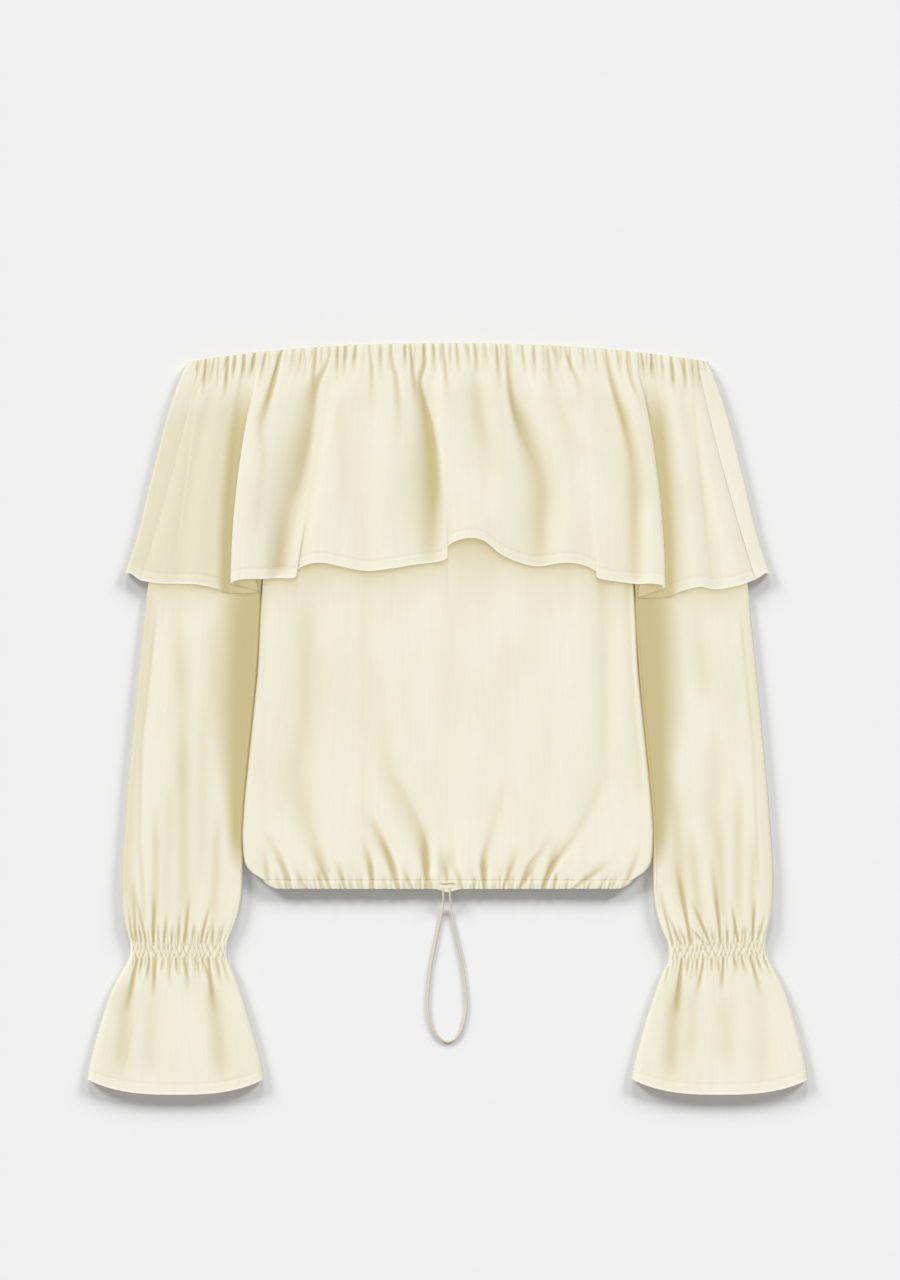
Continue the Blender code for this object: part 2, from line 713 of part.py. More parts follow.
def make_sleeve(side, name):
    rows = []
    for number, (y, inner, outer, rest) in enumerate(SLEEVE_ROWS):
        fine = y < SLEEVE_FINE_BELOW

        def height(place, y=y, rest=rest):
            across = place / SLEEVE_GATHERS
            crown = SLEEVE_CROWN * math.sin(math.pi * across)
            crown -= SLEEVE_INNER_DIP * smooth(SLEEVE_INNER_SHARE, 0.0, across)
            reach = mix(*SLEEVE_GATHER_REACH, uneven(int(place) * 5))
            fade = 1.0 - smooth(0.0, reach, y - SLEEVE_ROWS[-1][0])
            crown *= smooth(*SLEEVE_CROWN_FREE, y) * mix(1.0, SLEEVE_CROWN_IN_GATHERS, fade)
            return rest + crown + cross_gather(place, SLEEVE_GATHER_RISE) * fade

        closing = smooth(UNDERARM, CLOSED_BELOW, y)
        ring = cross_ring(inner, outer, rest, under_height(y), fine, height, closing)
        row = {}
        for column, (x, z) in ring.items():
            top_y = neckline(min(x, NECK_HALF)) - NECK_CHANNEL - SEAM
            row_y = top_y if number == 0 else y
            row[column] = (x, tilt(side, x, row_y, smooth(TILT_FROM, SLEEVE_ROWS[-1][0], y)), z)
        rows.append(row)
    closed_from = [row[0] <= CLOSED_BELOW for row in SLEEVE_ROWS].index(True)
    return cloth(name, rows, closed_from=closed_from, mirrored=side < 0)


def make_wrist(side, name):
    rows = []
    for y, inner, outer, rest in WRIST_ROWS:

        def height(place, rest=rest):
            return rest + cross_gather(place, WRIST_GATHER_RISE)

        ring = cross_ring(inner, outer, rest, 0.0, True, height)
        rows.append({column: (x, tilt(side, x, y, 1.0), z) for column, (x, z) in ring.items()})
    return cloth(name, rows, closed_from=0, mirrored=side < 0, colour=CREAM_SHADE)


def make_cuff(side, name):
    rows = []
    for number, (share, half, centre) in enumerate(CUFF_ROWS):

        def height(place, share=share):
            across = place / SLEEVE_GATHERS
            flute = math.sin(2.0 * math.pi * (CUFF_FLUTES * across + CUFF_FLUTE_SHIFT))
            flute *= CUFF_FLUTE * smooth(*CUFF_FLARE, share) * math.sin(math.pi * across)
            gather = cross_gather(place, CUFF_GATHER_RISE) * (1.0 - smooth(0.0, CUFF_GATHER_REACH, share))
            return CUFF_REST + CUFF_FLARE_RISE * smooth(*CUFF_FLARE, share) + flute + gather

        rest = CUFF_REST + CUFF_FLARE_RISE * smooth(*CUFF_FLARE, share)
        ring = cross_ring(centre - half, centre + half, rest, 0.0, number < CUFF_FINE_ROWS, height)
        row = {}
        for column, (x, z) in ring.items():
            across = min(abs(x - centre) / half, 1.0)
            hem = CUFF_HEM + CUFF_CORNER_RISE * across**CUFF_HEM_ROUND
            row[column] = (x, tilt(side, x, mix(CUFF_TOP, hem, share), 1.0 - share), z)
        rows.append(row)
    return cloth(name, rows, closed_from=0, mirrored=side < 0)


# Drawcord


def tube(name, points, across, cyclic, colour):
    """A round cord through the points, given in millimetres."""
    curve = bpy.data.curves.new(name, "CURVE")
    curve.dimensions = "3D"
    curve.bevel_depth = across / 2.0 * MM
    curve.bevel_resolution = 2
    curve.use_fill_caps = not cyclic
    line = curve.splines.new("POLY")
    line.points.add(len(points) - 1)
    line.use_cyclic_u = cyclic
    for point, (x, y, z) in zip(line.points, points):
        point.co = (x * MM, y * MM, z * MM, 1.0)
    obj = bpy.data.objects.new(name, curve)
    add(obj, colour, CORD_ROUGHNESS)
    return obj


def make_drawcord():
    rows, gone = [], 0.0
    for number, point in enumerate(CORD_ROUTE):
        if number:
            gone += math.dist(point, CORD_ROUTE[number - 1])
        rows.append((gone, *point))
    steps = round(gone / CORD_STEP)
    points = [spline(rows, gone * step / steps) for step in range(steps + 1)]
    return tube("drawcord", points, CORD_ACROSS, False, CREAM_THREAD)


def make_cord_hole():
    """The stitched edge of the slot in the hem channel, with round ends."""
    height = CHANNEL_REST + SEAM + HOLE_STITCH / 2.0
    turn_radius = (HOLE_HEIGHT - HOLE_STITCH) / 2.0
    reach = (HOLE_LENGTH - HOLE_STITCH) / 2.0 - turn_radius
    points = []
    for number in range(2 * HOLE_END_POINTS):
        end = 1.0 if number < HOLE_END_POINTS else -1.0
        turn = math.pi * (number % HOLE_END_POINTS) / (HOLE_END_POINTS - 1.0) - math.pi / 2.0
        x = HOLE_X + end * (reach + turn_radius * math.cos(turn))
        points.append((x, HOLE_Y + end * turn_radius * math.sin(turn), height))
    return tube("cord_hole", points, HOLE_STITCH, True, CREAM_THREAD)


def main():
    for obj in list(bpy.data.objects):
        bpy.data.objects.remove(obj)
    collection = bpy.data.collections.new("long_sleeve_top")
    bpy.context.scene.collection.children.link(collection)
    make_neck_channel()
    make_flounce_front()
    make_flounce_back()
    make_body_front()
    make_body_back()
    make_hem_channel()
    for side, name in ((-1, "right"), (1, "left")):
        make_sleeve(side, f"sleeve_{name}")
        make_wrist(side, f"wrist_{name}")
        make_cuff(side, f"cuff_{name}")
    make_cord_hole()
    make_drawcord()


main()
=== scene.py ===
"""A long-sleeve off-shoulder top laid flat with its front up, dressed for the camera.

Lengths are in millimetres until a mesh is made. X runs across the top, Y from its hem to its
neckline and Z up. The shapes repeat the sizes of the part's source, and creases, hems, shirring
and stitching are laid into them.
"""

import math

import bpy
import numpy as np
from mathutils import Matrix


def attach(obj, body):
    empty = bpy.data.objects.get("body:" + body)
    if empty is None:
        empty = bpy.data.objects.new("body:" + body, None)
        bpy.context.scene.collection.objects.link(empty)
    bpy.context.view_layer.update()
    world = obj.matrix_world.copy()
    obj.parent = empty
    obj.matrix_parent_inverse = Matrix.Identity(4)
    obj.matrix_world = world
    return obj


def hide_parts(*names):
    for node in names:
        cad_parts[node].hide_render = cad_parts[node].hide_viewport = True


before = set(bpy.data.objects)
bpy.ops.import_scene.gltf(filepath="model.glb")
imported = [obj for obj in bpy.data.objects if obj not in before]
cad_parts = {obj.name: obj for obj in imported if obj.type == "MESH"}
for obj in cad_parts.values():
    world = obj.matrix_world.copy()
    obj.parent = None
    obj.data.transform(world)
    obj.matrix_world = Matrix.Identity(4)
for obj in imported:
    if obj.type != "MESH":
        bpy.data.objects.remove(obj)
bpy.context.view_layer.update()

MM = 0.001

# Cloth
CLOTH = 0.45
EDGE_TURN = 0.5
TURN_ROWS = 4
SEAM_GAP = 0.3

# Neckline
NECK_HALF = 235
NECK_TOP = 337.9
NECK_DROP = 16.5
NECK_ROUND = 2.3
NECK_CHANNEL = 9
# Columns of the channel between each fold and the flounce's seam, and its rows from the top down
NECK_SIDE = 7
CHANNEL_LEVELS = (0, 0.4, 0.9, 1.5, 2.2, 3, 4, 5.5, 7, 8, 9, 9.5, 10, 10.5, 11)

# Heights of the outer faces above the surface
LAYER = 1.4
UNDER_FLOUNCE = 4.4
FLOUNCE_REST = 6
BODY_REST = 5.5
CHANNEL_REST = 5.2
# What lies higher than this is a sleeve's front, not its back
FRONT_ABOVE = 2.6

# Flounce
BACK_HEM = 128
CORNER_HEM = 131.5
FLOUNCE_DEPTH = 205
GATHER_RISE = 1.7
GATHER_FADE = 64

# Rows past a seam, where one piece slips under the next
UNDER_SEAM = (-2, -1.5, -1, -0.5)

# Half width of the laid flounce at its side folds
#                 y      half
FLOUNCE_EDGE = (
    (131.5, 290.4), (169, 278.8), (229, 264.5), (283, 250), (330, 232),
)

# From the side seam in to the crest of the fold over each armhole
#  neck   half    hem    hem y   hem y   lift  lift  lift
#  x      way x   x      left    right   high  half  hem
ARMHOLE_FOLD = (
    (226, 249, 277, 125, 125.8, 0, 0, 0), (216, 238, 260, 122.2, 119.8, 1.2, 1.6, 1.4),
    (207, 228, 241, 121.8, 116.8, 0.8, 1, 1), (198, 216, 226, 121.2, 119, 2.2, 3.4, 3.6),
    (189, 204, 208, 117.5, 114.5, 1.6, 2.6, 2.6), (183, 195, 199, 113.8, 110, 0.6, 0.3, 0.4),
    (178, 187, 180, 113.2, 109.2, 0.6, 0.1, 0.2), (175.5, 182, 170.5, 114.4, 109.6, 0.8, 0.5, 0.6),
    (173, 185, 177, 117.5, 111.5, 1.4, 1.2, 1.3), (171, 187.6, 188, 120, 115, 2, 1.9, 1.9),
    (169, 188.6, 193.8, 121.6, 117.6, 2.6, 2.8, 3), (166.5, 187.6, 195.4, 122.3, 118.6, 3.3, 4.6, 4.9),
    (163, 184, 192.3, 124, 120.4, 3.9, 6.1, 6.5), (156, 176, 182, 126, 122, 4.1, 6.8, 6.9),
)

# The ridges and valleys between the two armhole folds, from left to right
#  neck   half    hem     hem    lift  lift  lift
#  x      way x   x       y      high  half  hem
FRONT_FOLDS = (
    (-143, -160, -164, 126.2, 3.2, 5.6, 5.4), (-112, -131, -153, 127, 1.2, 1.4, 2),
    (-103, -122, -137, 127.6, 1.6, 1.8, 4.8), (-98, -117, -133.2, 136, 2, 2.4, 3),
    (-88, -106, -114, 140.7, 3.2, 5.2, 5.2), (-66, -77, -77, 133.6, 2.4, 3.8, 3.2),
    (-46, -53, -53, 135.2, 3.2, 5, 4.6), (-32, -33, -31, 138.8, 2.4, 3, 3.4),
    (-21, -19, -12, 141.2, 0.6, 0.2, 2.4), (-15, -10.5, -4.5, 142.8, 1.2, 1.2, 3.6),
    (-10, -6.5, -0.4, 146, 3, 4.2, 6), (-5, -1, 1.4, 157, 4, 5.4, 5), (9, 15, 18, 162.8, 3, 4.4, 7.5),
    (23, 30, 33, 160, 2.2, 3.4, 6.8), (38, 46, 50, 147, 3.2, 4.6, 4.6), (54, 75, 77, 137.8, 1, 0.8, 2.2),
    (73, 97, 104, 140.6, 3.8, 5, 5.2), (98, 113, 121, 138.8, 3, 4.4, 3.8),
    (116, 124, 133.2, 133, 2.2, 3.8, 2.6), (125, 131, 136, 126.6, 2.2, 3.6, 4.8),
    (141, 160, 168, 121.8, 1, 1.4, 3),
)

# The gathers that the elastic makes along the neckline, each a crease with flat cloth beside it
#   x at    x where  reach  depth
#   the top it ends  down
NECK_CREASES = (
    (-224.8, -228, 14, 0.9), (-217.8, -220, 20, 1.1), (-209.8, -213, 12, 0.7), (-197.7, -200, 24, 1.2),
    (-191.7, -193, 10, 0.7), (-183.7, -184, 22, 1), (-173.6, -182, 48, 1.5), (-163.6, -168, 16, 0.8),
    (-149.5, -163, 46, 1.6), (-139, -141, 10, 0.6), (-131.4, -134, 12, 0.8), (-118.4, -121, 20, 1.2),
    (-99, -100, 10, 0.6), (-92.3, -93, 14, 0.9), (-82, -84, 12, 0.6), (-61.1, -60.5, 14, 0.8),
    (-39, -38, 12, 0.9), (-34, -30, 34, 1), (-13, -12, 16, 0.8), (7.6, 9.5, 14, 0.9),
    (17.9, 19, 10, 0.7), (24.1, 26, 14, 0.8), (33.4, 35, 10, 0.6), (43.7, 46, 22, 1),
    (66.5, 69, 14, 0.8), (76.8, 78, 16, 0.8), (89.2, 92, 24, 0.8), (97, 98, 10, 0.6),
    (121.2, 123, 12, 0.7), (132, 134, 10, 0.6), (152, 155, 12, 0.7), (173.9, 178, 22, 0.9),
    (183.2, 186, 50, 1.8), (192, 194, 12, 0.7), (200.8, 203, 16, 0.9), (212.1, 214, 18, 1),
    (219.4, 221, 12, 0.7), (224.5, 227, 14, 0.7), (230, 232, 10, 0.5),
)

# The long folds of the flounce, each from the neckline down
#    y       x       depth  width  width
#                           left   right
FLOUNCE_FOLDS = (
    (
        (314, -217.1, 0.5, 2, 1), (300, -223.5, 0.7, 3, 1), (288, -228.3, 0.7, 4, 1),
        (268, -230, 0.7, 5, 1), (236, -233.2, 0.8, 6, 1), (183, -240.4, 0.8, 6, 1),
        (150, -244, 0.3, 5, 1),
    ),
    (
        (290, -164, 0.2, 3, 3), (262, -168, 0.7, 4, 4), (228, -165, 0.5, 5, 5), (187, -170.5, 0.5, 5, 5),
        (160, -172, 0.1, 5, 5),
    ),
    (
        (326, -106.3, 1.3, 1.6, 1.2), (316, -110, 1.6, 3, 1.4), (299, -118, 2, 7, 2.4),
        (272, -122.3, 1.6, 12, 3.4), (244, -127.1, 1.8, 17, 4.4), (212, -135.1, 1.5, 17, 6.5),
        (188, -144.8, 1.3, 13, 9), (156, -149.6, 1.6, 11, 8), (138, -151.2, 1.6, 11, 8),
    ),
    (
        (290, -99, 0.1, 6, 6), (271, -96.6, 0.4, 6, 6), (212, -91.8, 0.3, 7, 7), (190, -91, 0.1, 7, 7),
    ),
    (
        (331, -70.4, 1.3, 1.2, 1.2), (317, -68.4, 1.5, 1.6, 1.6), (293, -68, 0.6, 3, 2.5),
        (275, -68, 0.1, 4, 4),
    ),
    (
        (331, -51, 1.4, 1.2, 1.2), (318, -49.5, 1.6, 1.8, 1.5), (309, -46.8, 1.5, 2.4, 1.8),
        (288, -44.3, 1.1, 3.5, 2.5), (268, -43.5, 0.6, 5, 4), (250, -43, 0.1, 6, 5),
    ),
    (
        (333, -21, 1.5, 1.4, 1.2), (320, -21, 1.7, 2, 1.4), (302, -24.5, 1.8, 4, 1.6),
        (286, -21, 2.2, 6, 1.8), (265, -15.5, 2.6, 9, 1.8), (240, -12.5, 2.3, 12, 3),
        (204, -12, 2, 14, 6), (180, -14, 1.6, 13, 8), (156, -16, 1.2, 9, 7), (145, -16, 0.8, 8, 6),
    ),
    (
        (333, -4.2, 1.6, 1.1, 1.1), (320, -2.6, 1.7, 1.5, 1.5), (309, -1.5, 1.3, 1.8, 1.8),
        (295, -0.5, 0.3, 3, 3),
    ),
    (
        (325, 27, 0.4, 2, 2), (310, 24, 0.4, 4, 4), (290, 26, 0.8, 7, 7), (260, 31, 0.9, 8, 8),
        (228, 38, 0.4, 8, 8), (205, 40, 0.1, 8, 8),
    ),
    (
        (333, 53, 1.6, 1.2, 1.4), (309, 54.5, 1.8, 1.6, 3), (288, 57, 2.2, 1.8, 5),
        (268, 61.9, 2.1, 2.6, 10), (251, 68.3, 1.6, 5, 12), (228, 79.6, 1.3, 9, 12),
        (204, 84.4, 1.4, 10, 11), (180, 83.5, 1.3, 10, 10), (156, 83, 1.1, 8, 8), (142, 83, 0.8, 8, 8),
    ),
    (
        (331, 105.7, 1.5, 1.1, 1.2), (315, 111.5, 1.4, 1.4, 2.2), (304, 116.5, 0.8, 2, 3),
        (290, 120, 0.2, 3, 4),
    ),
    (
        (296, 96, 0.3, 5, 5), (268, 105, 0.4, 6, 6), (238, 119, 0.2, 8, 8),
    ),
    (
        (331, 142.3, 1.6, 1.2, 1.4), (310, 145.5, 1.8, 1.5, 3), (291, 150.3, 2, 1.7, 4),
        (272, 155.9, 2.2, 2, 6), (251, 161.5, 1.8, 2.8, 7), (228, 166.4, 1.5, 5, 8),
        (204, 168.8, 1.4, 7, 8), (180, 168, 1.2, 6, 6), (156, 168, 1, 6, 6), (130, 168, 0.8, 6, 6),
    ),
    (
        (330, 161.5, 1.3, 1, 1.2), (315, 162.3, 1.4, 1.3, 2), (296, 168, 0.9, 1.6, 3),
        (286, 174, 0.3, 2, 3),
    ),
    (
        (279, 221, 0.35, 1, 3), (196, 229, 0.35, 1, 3), (130, 237, 0.2, 1, 3),
    ),
)

# Body: half width at the armhole seams and, below the underarm, at the side seams
#               y      half
BODY_EDGE = (
    (-144.9, 167.3), (-138, 177.5), (-130, 183), (-115, 185), (-101, 185.3), (-70, 183.2), (-29, 179),
    (5, 175.5), (46, 171.5), (97, 169), (135, 166), (240, 157), (330, 150),
)
BODY_END = BODY_EDGE[0][0]
UNDERARM = 135
CLOSED_BELOW = 116
FLAT_FROM = 100
BODY_TOP_ROW = 325
HEM_PUFF = 1.5
HEM_PUFF_FADE = 60
BUTTONHOLE_FLAT = 11

# The long folds of the body, each from the top down
#    y       x       depth  width  width
#                           left   right
BODY_FOLDS = (
    (
        (116, -126, 0.6, 10, 10), (60, -126, 1.3, 13, 12), (0, -128, 1.2, 13, 13),
        (-46, -135, 1.1, 16, 14), (-84, -128, 1.1, 14, 9), (-115, -117.5, 1, 9, 5),
        (-137, -107.3, 0.7, 4, 3),
    ),
    (
        (60, -60, 0.1, 12, 12), (-10, -58, 0.5, 12, 9), (-46, -52, 0.9, 11, 7), (-72, -38, 1.3, 12, 5),
        (-104, -23, 1.6, 11, 3.6), (-130, -19, 1.5, 6, 3.4), (-148, -20, 1.3, 2, 1.6),
    ),
    (
        (-86, -70, 0.2, 6, 4), (-98, -65, 1.2, 6, 3), (-112, -58, 1.4, 5, 2.5), (-130, -49, 1.3, 4, 2),
        (-143, -45, 1.2, 2, 1.5),
    ),
    (
        (-108, -76, 0.2, 4, 3), (-122, -71.5, 1.2, 4, 2), (-145, -67.5, 1.3, 2, 1.6),
    ),
    (
        (-100, -166, 0.2, 5, 5), (-115, -157, 0.7, 5, 4), (-137, -145.4, 0.8, 3, 2),
    ),
    (
        (-118, -1, 0.1, 9, 9), (-128, -0.7, 1, 8, 8), (-138, -0.7, 0.5, 5, 5),
    ),
    (
        (-50, 53, 0.1, 6, 6), (-72, 47.5, 0.4, 6, 6), (-100, 40, 0.6, 5, 5), (-115, 34.9, 1.2, 2.5, 5),
        (-130, 31.2, 1.8, 2.2, 5), (-148, 32.5, 1.4, 1.6, 2),
    ),
    (
        (-105, 92, 0.1, 4, 5), (-120, 83, 1.1, 2.5, 5), (-132, 73, 1.3, 2, 4), (-150, 66, 1, 1.6, 2),
    ),
    (
        (-50, 141.5, 0.3, 7, 7), (-74, 131.3, 0.7, 7, 6), (-107, 113, 0.9, 4, 5),
        (-118, 104, 1.4, 2.5, 5), (-130, 95.8, 1.7, 2, 4), (-148, 87, 1.4, 1.6, 2),
    ),
    (
        (90, 138, 0.3, 7, 7), (20, 141, 0.5, 7, 7), (-50, 141.5, 0.2, 7, 7),
    ),
    (
        (110, 163, 0.7, 4, 2), (40, 166, 0.7, 5, 2), (-60, 174, 0.5, 5, 2),
    ),
)

# The gathers that the drawcord makes along the hem
#    x from  y from   x to    y to    depth
HEM_CREASES = (
    (-161, -152, -167, -107, 0.9), (-151, -153, -155, -136, 0.8), (-142, -153, -157, -108, 0.9),
    (-133, -153, -136, -141, 0.7), (-128, -153, -139, -133, 1.1), (-112.5, -153, -119.5, -131, 1.3),
    (-106, -153, -124, -108, 1.3), (-92.5, -153, -101, -125, 1.4), (-86.5, -153, -89, -138, 0.9),
    (-79, -153, -82, -138, 0.7), (-67.5, -153, -72, -114, 1.3), (-56, -153, -58.5, -138, 0.8),
    (-45, -153, -65, -90, 1.4), (-38.5, -153, -40.5, -141, 0.7), (-32.5, -153, -42.5, -130, 1.2),
    (-25, -153, -27, -139, 0.8), (-18, -153, -23.5, -86, 1.5), (-15, -154, -16, -138, 1.2),
    (-1, -144, -3.6, -125, 0.9), (12.6, -153, 6.3, -129, 1.3), (23.4, -153, 24.3, -137, 1.2),
    (33.3, -153, 31.5, -118, 1.7), (42.3, -153, 44, -140, 0.8), (50.4, -153, 64, -111, 1.3),
    (56, -153, 57.6, -140, 0.8), (64, -153, 85.5, -120, 1.2), (74.7, -153, 77.4, -134, 1),
    (85.5, -153, 103.5, -102, 1.7), (95.4, -153, 98.1, -136, 1.2), (106, -153, 108, -140, 0.7),
    (114.5, -152, 152, -124, 1.2), (126, -153, 131.5, -142, 0.8), (137, -153, 147.6, -136, 0.9),
    (148, -151, 153, -141, 0.7), (159.5, -150, 175.5, -111, 0.9),
)

# Hem channel: its rows from the seam with the body down to the edge
#               y       half
HEM_ROWS = (
    (-152.8, 157), (-149.2, 163.4), (-145.2, 167),
)
HEM_DIP = 3
HEM_DIP_WIDTH = 7

# Sleeve, from the neckline down to the wrist. X is measured from the middle of the top.
#               y       inner   outer   rest
SLEEVE_ROWS = (
    (311, 151.4, 231, UNDER_FLOUNCE), (140, 166.2, 266.5, UNDER_FLOUNCE),
    (116, 168.6, 271, UNDER_FLOUNCE), (97, 169.6, 272.6, 4.7), (46, 172.4, 278, 5.3),
    (-12, 177.9, 283.6, 5.5), (-70, 183.8, 288.8, 5.6), (-108, 186, 291.6, 5.8), (-134, 185, 293.2, 6),
    (-158, 185.6, 293.2, 6), (-179, 189.8, 292, 5.6), (-199.8, 198.2, 287, 5),
)
SLEEVE_END = -200.1
CUFF_START = -217.8
SLEEVE_PUFF = 1.5
SLEEVE_PUFF_FADE = 55
SLEEVE_INNER_DIP = 0.9
SLEEVE_CROWN = 0.6
# Columns across the back of a sleeve, wrist or cuff
SLEEVE_BACK = 44
# How far a sleeve reaches in to touch the body
BODY_TOUCH = 0.7

# The gathers above each wrist, in the picture's left and right sleeve
#    x from  y from   x to    y to    depth
SLEEVE_CREASES = {
    -1: (
        (-284.5, -200, -287.5, -172, 0.8), (-281, -200, -283, -148, 0.9),
        (-276.3, -200, -279, -181, 0.8), (-271.8, -200, -280.8, -158.6, 1.1),
        (-264.9, -200, -264.2, -164, 1.6), (-260.1, -200, -261, -185, 0.8),
        (-255.2, -200, -252.9, -178, 1.2), (-248.4, -200, -247.5, -187, 0.9),
        (-243, -200, -241.2, -175, 0.9), (-236.7, -200, -233.1, -166, 1.4),
        (-230.4, -200, -227.7, -184, 0.8), (-222.3, -200, -215.1, -172, 1.4),
        (-217.8, -200, -214.2, -188, 0.8), (-211.9, -200, -211.5, -184, 1.2),
        (-205.2, -200, -201.6, -184, 0.9),
    ),
    1: (
        (201.5, -200, 191.7, -158, 1.1), (208.5, -201, 198.9, -178, 1.1),
        (213.3, -201, 208.8, -188, 0.8), (218.7, -201, 207.9, -142, 1.8), (229.5, -201, 220, -190, 1.2),
        (235.4, -201, 221.4, -168, 1.3), (239.4, -200, 236.7, -188, 0.8),
        (245.7, -200, 238.5, -132, 1.3), (252, -200, 251.1, -184, 0.8), (260.7, -199, 256, -169, 1.4),
        (267.3, -199, 267.3, -186, 0.8), (274.2, -198, 276.3, -164, 1.3),
        (279.9, -198, 284.9, -178, 0.9),
    ),
}

# Long soft folds of the sleeves
#    x from  y from   x to    y to    depth  width
SLEEVE_VALLEYS = {
    -1: (
        (-260.6, 112, -275.9, -28, 0.5, 1.8), (-275.9, -28, -277, -110, 0.5, 1.8),
        (-277, -110, -272, -190, 0.6, 2.4), (-241, 122, -243, 20, 0.5, 6), (-236, 60, -238, -60, 0.6, 7),
        (-238, -30, -236, -190, 0.8, 7), (-262, -90, -263, -190, 0.8, 4),
        (-250, -60, -253, -180, 0.5, 5), (-219, 20, -221, -150, 0.5, 6), (-206, -90, -211, -185, 0.7, 5),
        (-214, 110, -206, -60, 0.3, 8),
    ),
    1: (
        (262, 112, 275.5, -28, 0.45, 1.8), (275.5, -28, 280, -150, 0.45, 1.8),
        (222, 110, 232, 20, 0.5, 8), (203, -60, 211, -170, 1, 7), (219, -110, 228, -190, 0.8, 5),
        (240, -20, 240, -120, 0.5, 8), (245, -100, 247, -190, 0.7, 5), (262, -70, 262, -185, 0.7, 5),
        (276, -110, 274, -190, 0.6, 3.5),
    ),
}

# How much darker each sleeve lies along its outer edge
OUTER_SHADE = {-1: 0.36, 1: 0.2}

# Shirred wrist, whose elastic draws the cloth in along its rows
#               y       inner   outer   rest
WRIST_ROWS = (
    (-217.8, 197.8, 287.8, 5), (-212, 198.7, 286.6, 4.6), (-206, 198.9, 286.4, 4.6),
    (-200.1, 198.4, 286.8, 5),
)
WRIST_TILT = {-1: 0, 1: 5.6}
TILT_FROM = -90
WRIST_PUFFS = 19
WRIST_THREADS = 2.8
WRIST_PUFF_RISE = 1.2

# Cuff frill, by share of the way from the wrist to its hem
#               share  half   centre
CUFF_ROWS = (
    (0, 45.2, 242.9), (0.08, 50.2, 243.2), (0.17, 54.6, 244), (0.28, 59.2, 244.8), (0.47, 65.8, 245),
    (0.68, 72.2, 245.1), (0.88, 77.6, 245.2), (1, 79.2, 245.2),
)
CUFF_TOP = -218.1
CUFF_HEM = -338
CUFF_CORNER_RISE = 13.6
CUFF_HEM_ROUND = 2.8
CUFF_REST = 4.9
CUFF_PUFF = 1.4

# The gathers below each wrist
#    x from  y from   x to    y to    depth
CUFF_CREASES = {
    -1: (
        (-279.9, -217, -289.5, -264, 1.7), (-275.4, -217, -277.2, -229, 0.9),
        (-269.1, -217, -270.9, -240, 1), (-263.3, -217, -265.1, -250, 1.6),
        (-256.5, -217, -258.3, -231, 0.8), (-250.2, -217, -250.2, -240, 0.9),
        (-244.4, -217, -243, -231, 1), (-236.7, -217, -233.1, -245, 1.3),
        (-226.8, -217, -222.3, -234, 1), (-220.5, -217, -214.2, -236, 0.9),
        (-215.6, -217, -210.6, -264, 1.7), (-208.8, -217, -203.4, -240, 1),
        (-203.4, -217, -196.2, -240, 0.8),
    ),
    1: (
        (199.6, -219, 194.4, -240, 1), (210.6, -219, 205.2, -268, 1.9), (216, -219, 214.2, -231, 0.8),
        (225, -218, 223.2, -234, 1.1), (230, -218, 223.2, -254, 1.2), (237.6, -218, 237.6, -231, 0.8),
        (243, -218, 244, -229, 0.8), (248, -217, 246.2, -247, 1.5), (257.9, -216, 261.9, -229, 1),
        (264.6, -216, 270, -232, 0.9), (272.7, -215, 281.7, -248, 1.4), (278.1, -215, 284.4, -231, 0.9),
        (284.4, -214, 292, -234, 1),
    ),
}

# Soft flutes of each cuff
#    x from  y from   x to    y to    depth  width
CUFF_VALLEYS = {
    -1: (
        (-288, -245, -295, -318, 1.2, 8), (-266, -245, -268, -318, 0.7, 8),
        (-211, -245, -203, -322, 1.3, 8), (-283, -275, -291, -312, 0.3, 1.6),
    ),
    1: (
        (206, -245, 200, -322, 1.5, 8), (222, -250, 218, -305, 0.7, 6), (249, -255, 252, -310, 0.7, 8),
        (280, -245, 284, -320, 0.5, 9),
    ),
}

# Hems
HEM_BAND = 9.6
HEM_BAND_RISE = 0.14
STITCH_DIP = 0.13
HEM_SEAM = 9

# How round a crease is across, and how many steps go round a folded edge
FOLD_POWER = 1.7
BEND_STEPS = 10

# Drawcord and the stitched hole that it comes out of
CORD_ACROSS = 1.8
CORD_SIDES = 14
CORD_STEP = 0.9
HOLE_X = 0.2
HOLE_Y = -148.8
HOLE_LENGTH = 15
# Pitch, length, width and height of the close stitches round it
BUTTONHOLE_STITCH = (0.36, 1.5, 0.34, 0.3)

# The route of the loop, from one strand's start to the other's
#     x      y       height
CORD_ROUTE = (
    (-4.2, -152.5, 7.1), (-4.2, -156.6, 7), (-4.3, -162, 5.6), (-4.8, -170, 2.4), (-6.4, -179, 1.05),
    (-8.6, -190.1, 0.95), (-12.6, -209, 0.95), (-15.8, -226.5, 0.95), (-17.6, -245.4, 0.95),
    (-18, -258.1, 0.95), (-16.4, -272, 0.95), (-10.8, -284.6, 0.95), (-0.6, -291.4, 0.95),
    (9, -286, 0.95), (15, -271.6, 0.95), (16.8, -258.1, 0.95), (15.8, -241.4, 0.95),
    (13.3, -222.5, 0.95), (10.2, -207.2, 0.95), (5.6, -187.4, 0.95), (3.8, -178, 1.05),
    (2.6, -169.4, 2.6), (1.9, -162, 5.6), (1.6, -156.6, 7), (1.6, -152.5, 7.1),
)

# Camera and studio
VIEW_HEIGHT = 1152
VIEW_CENTRE = (1.8, 70.9)
LENS = 85
SENSOR = 36

# Soft lamps beyond the neckline, round to the left of it, for the floor and for the cloth
#    round  height  spread  share  casts a shadow
FLOOR_LAMPS = (
    (0, 17, 15, 0.15, True), (-42, 17, 15, 0.27, True), (42, 17, 15, 0.27, True),
)
CLOTH_LAMPS = (
    (62, 38, 26, 0.23, False), (-25, 60, 50, 0.16, True), (50, 89, 60, 0.31, False),
)
SKY = 0.4

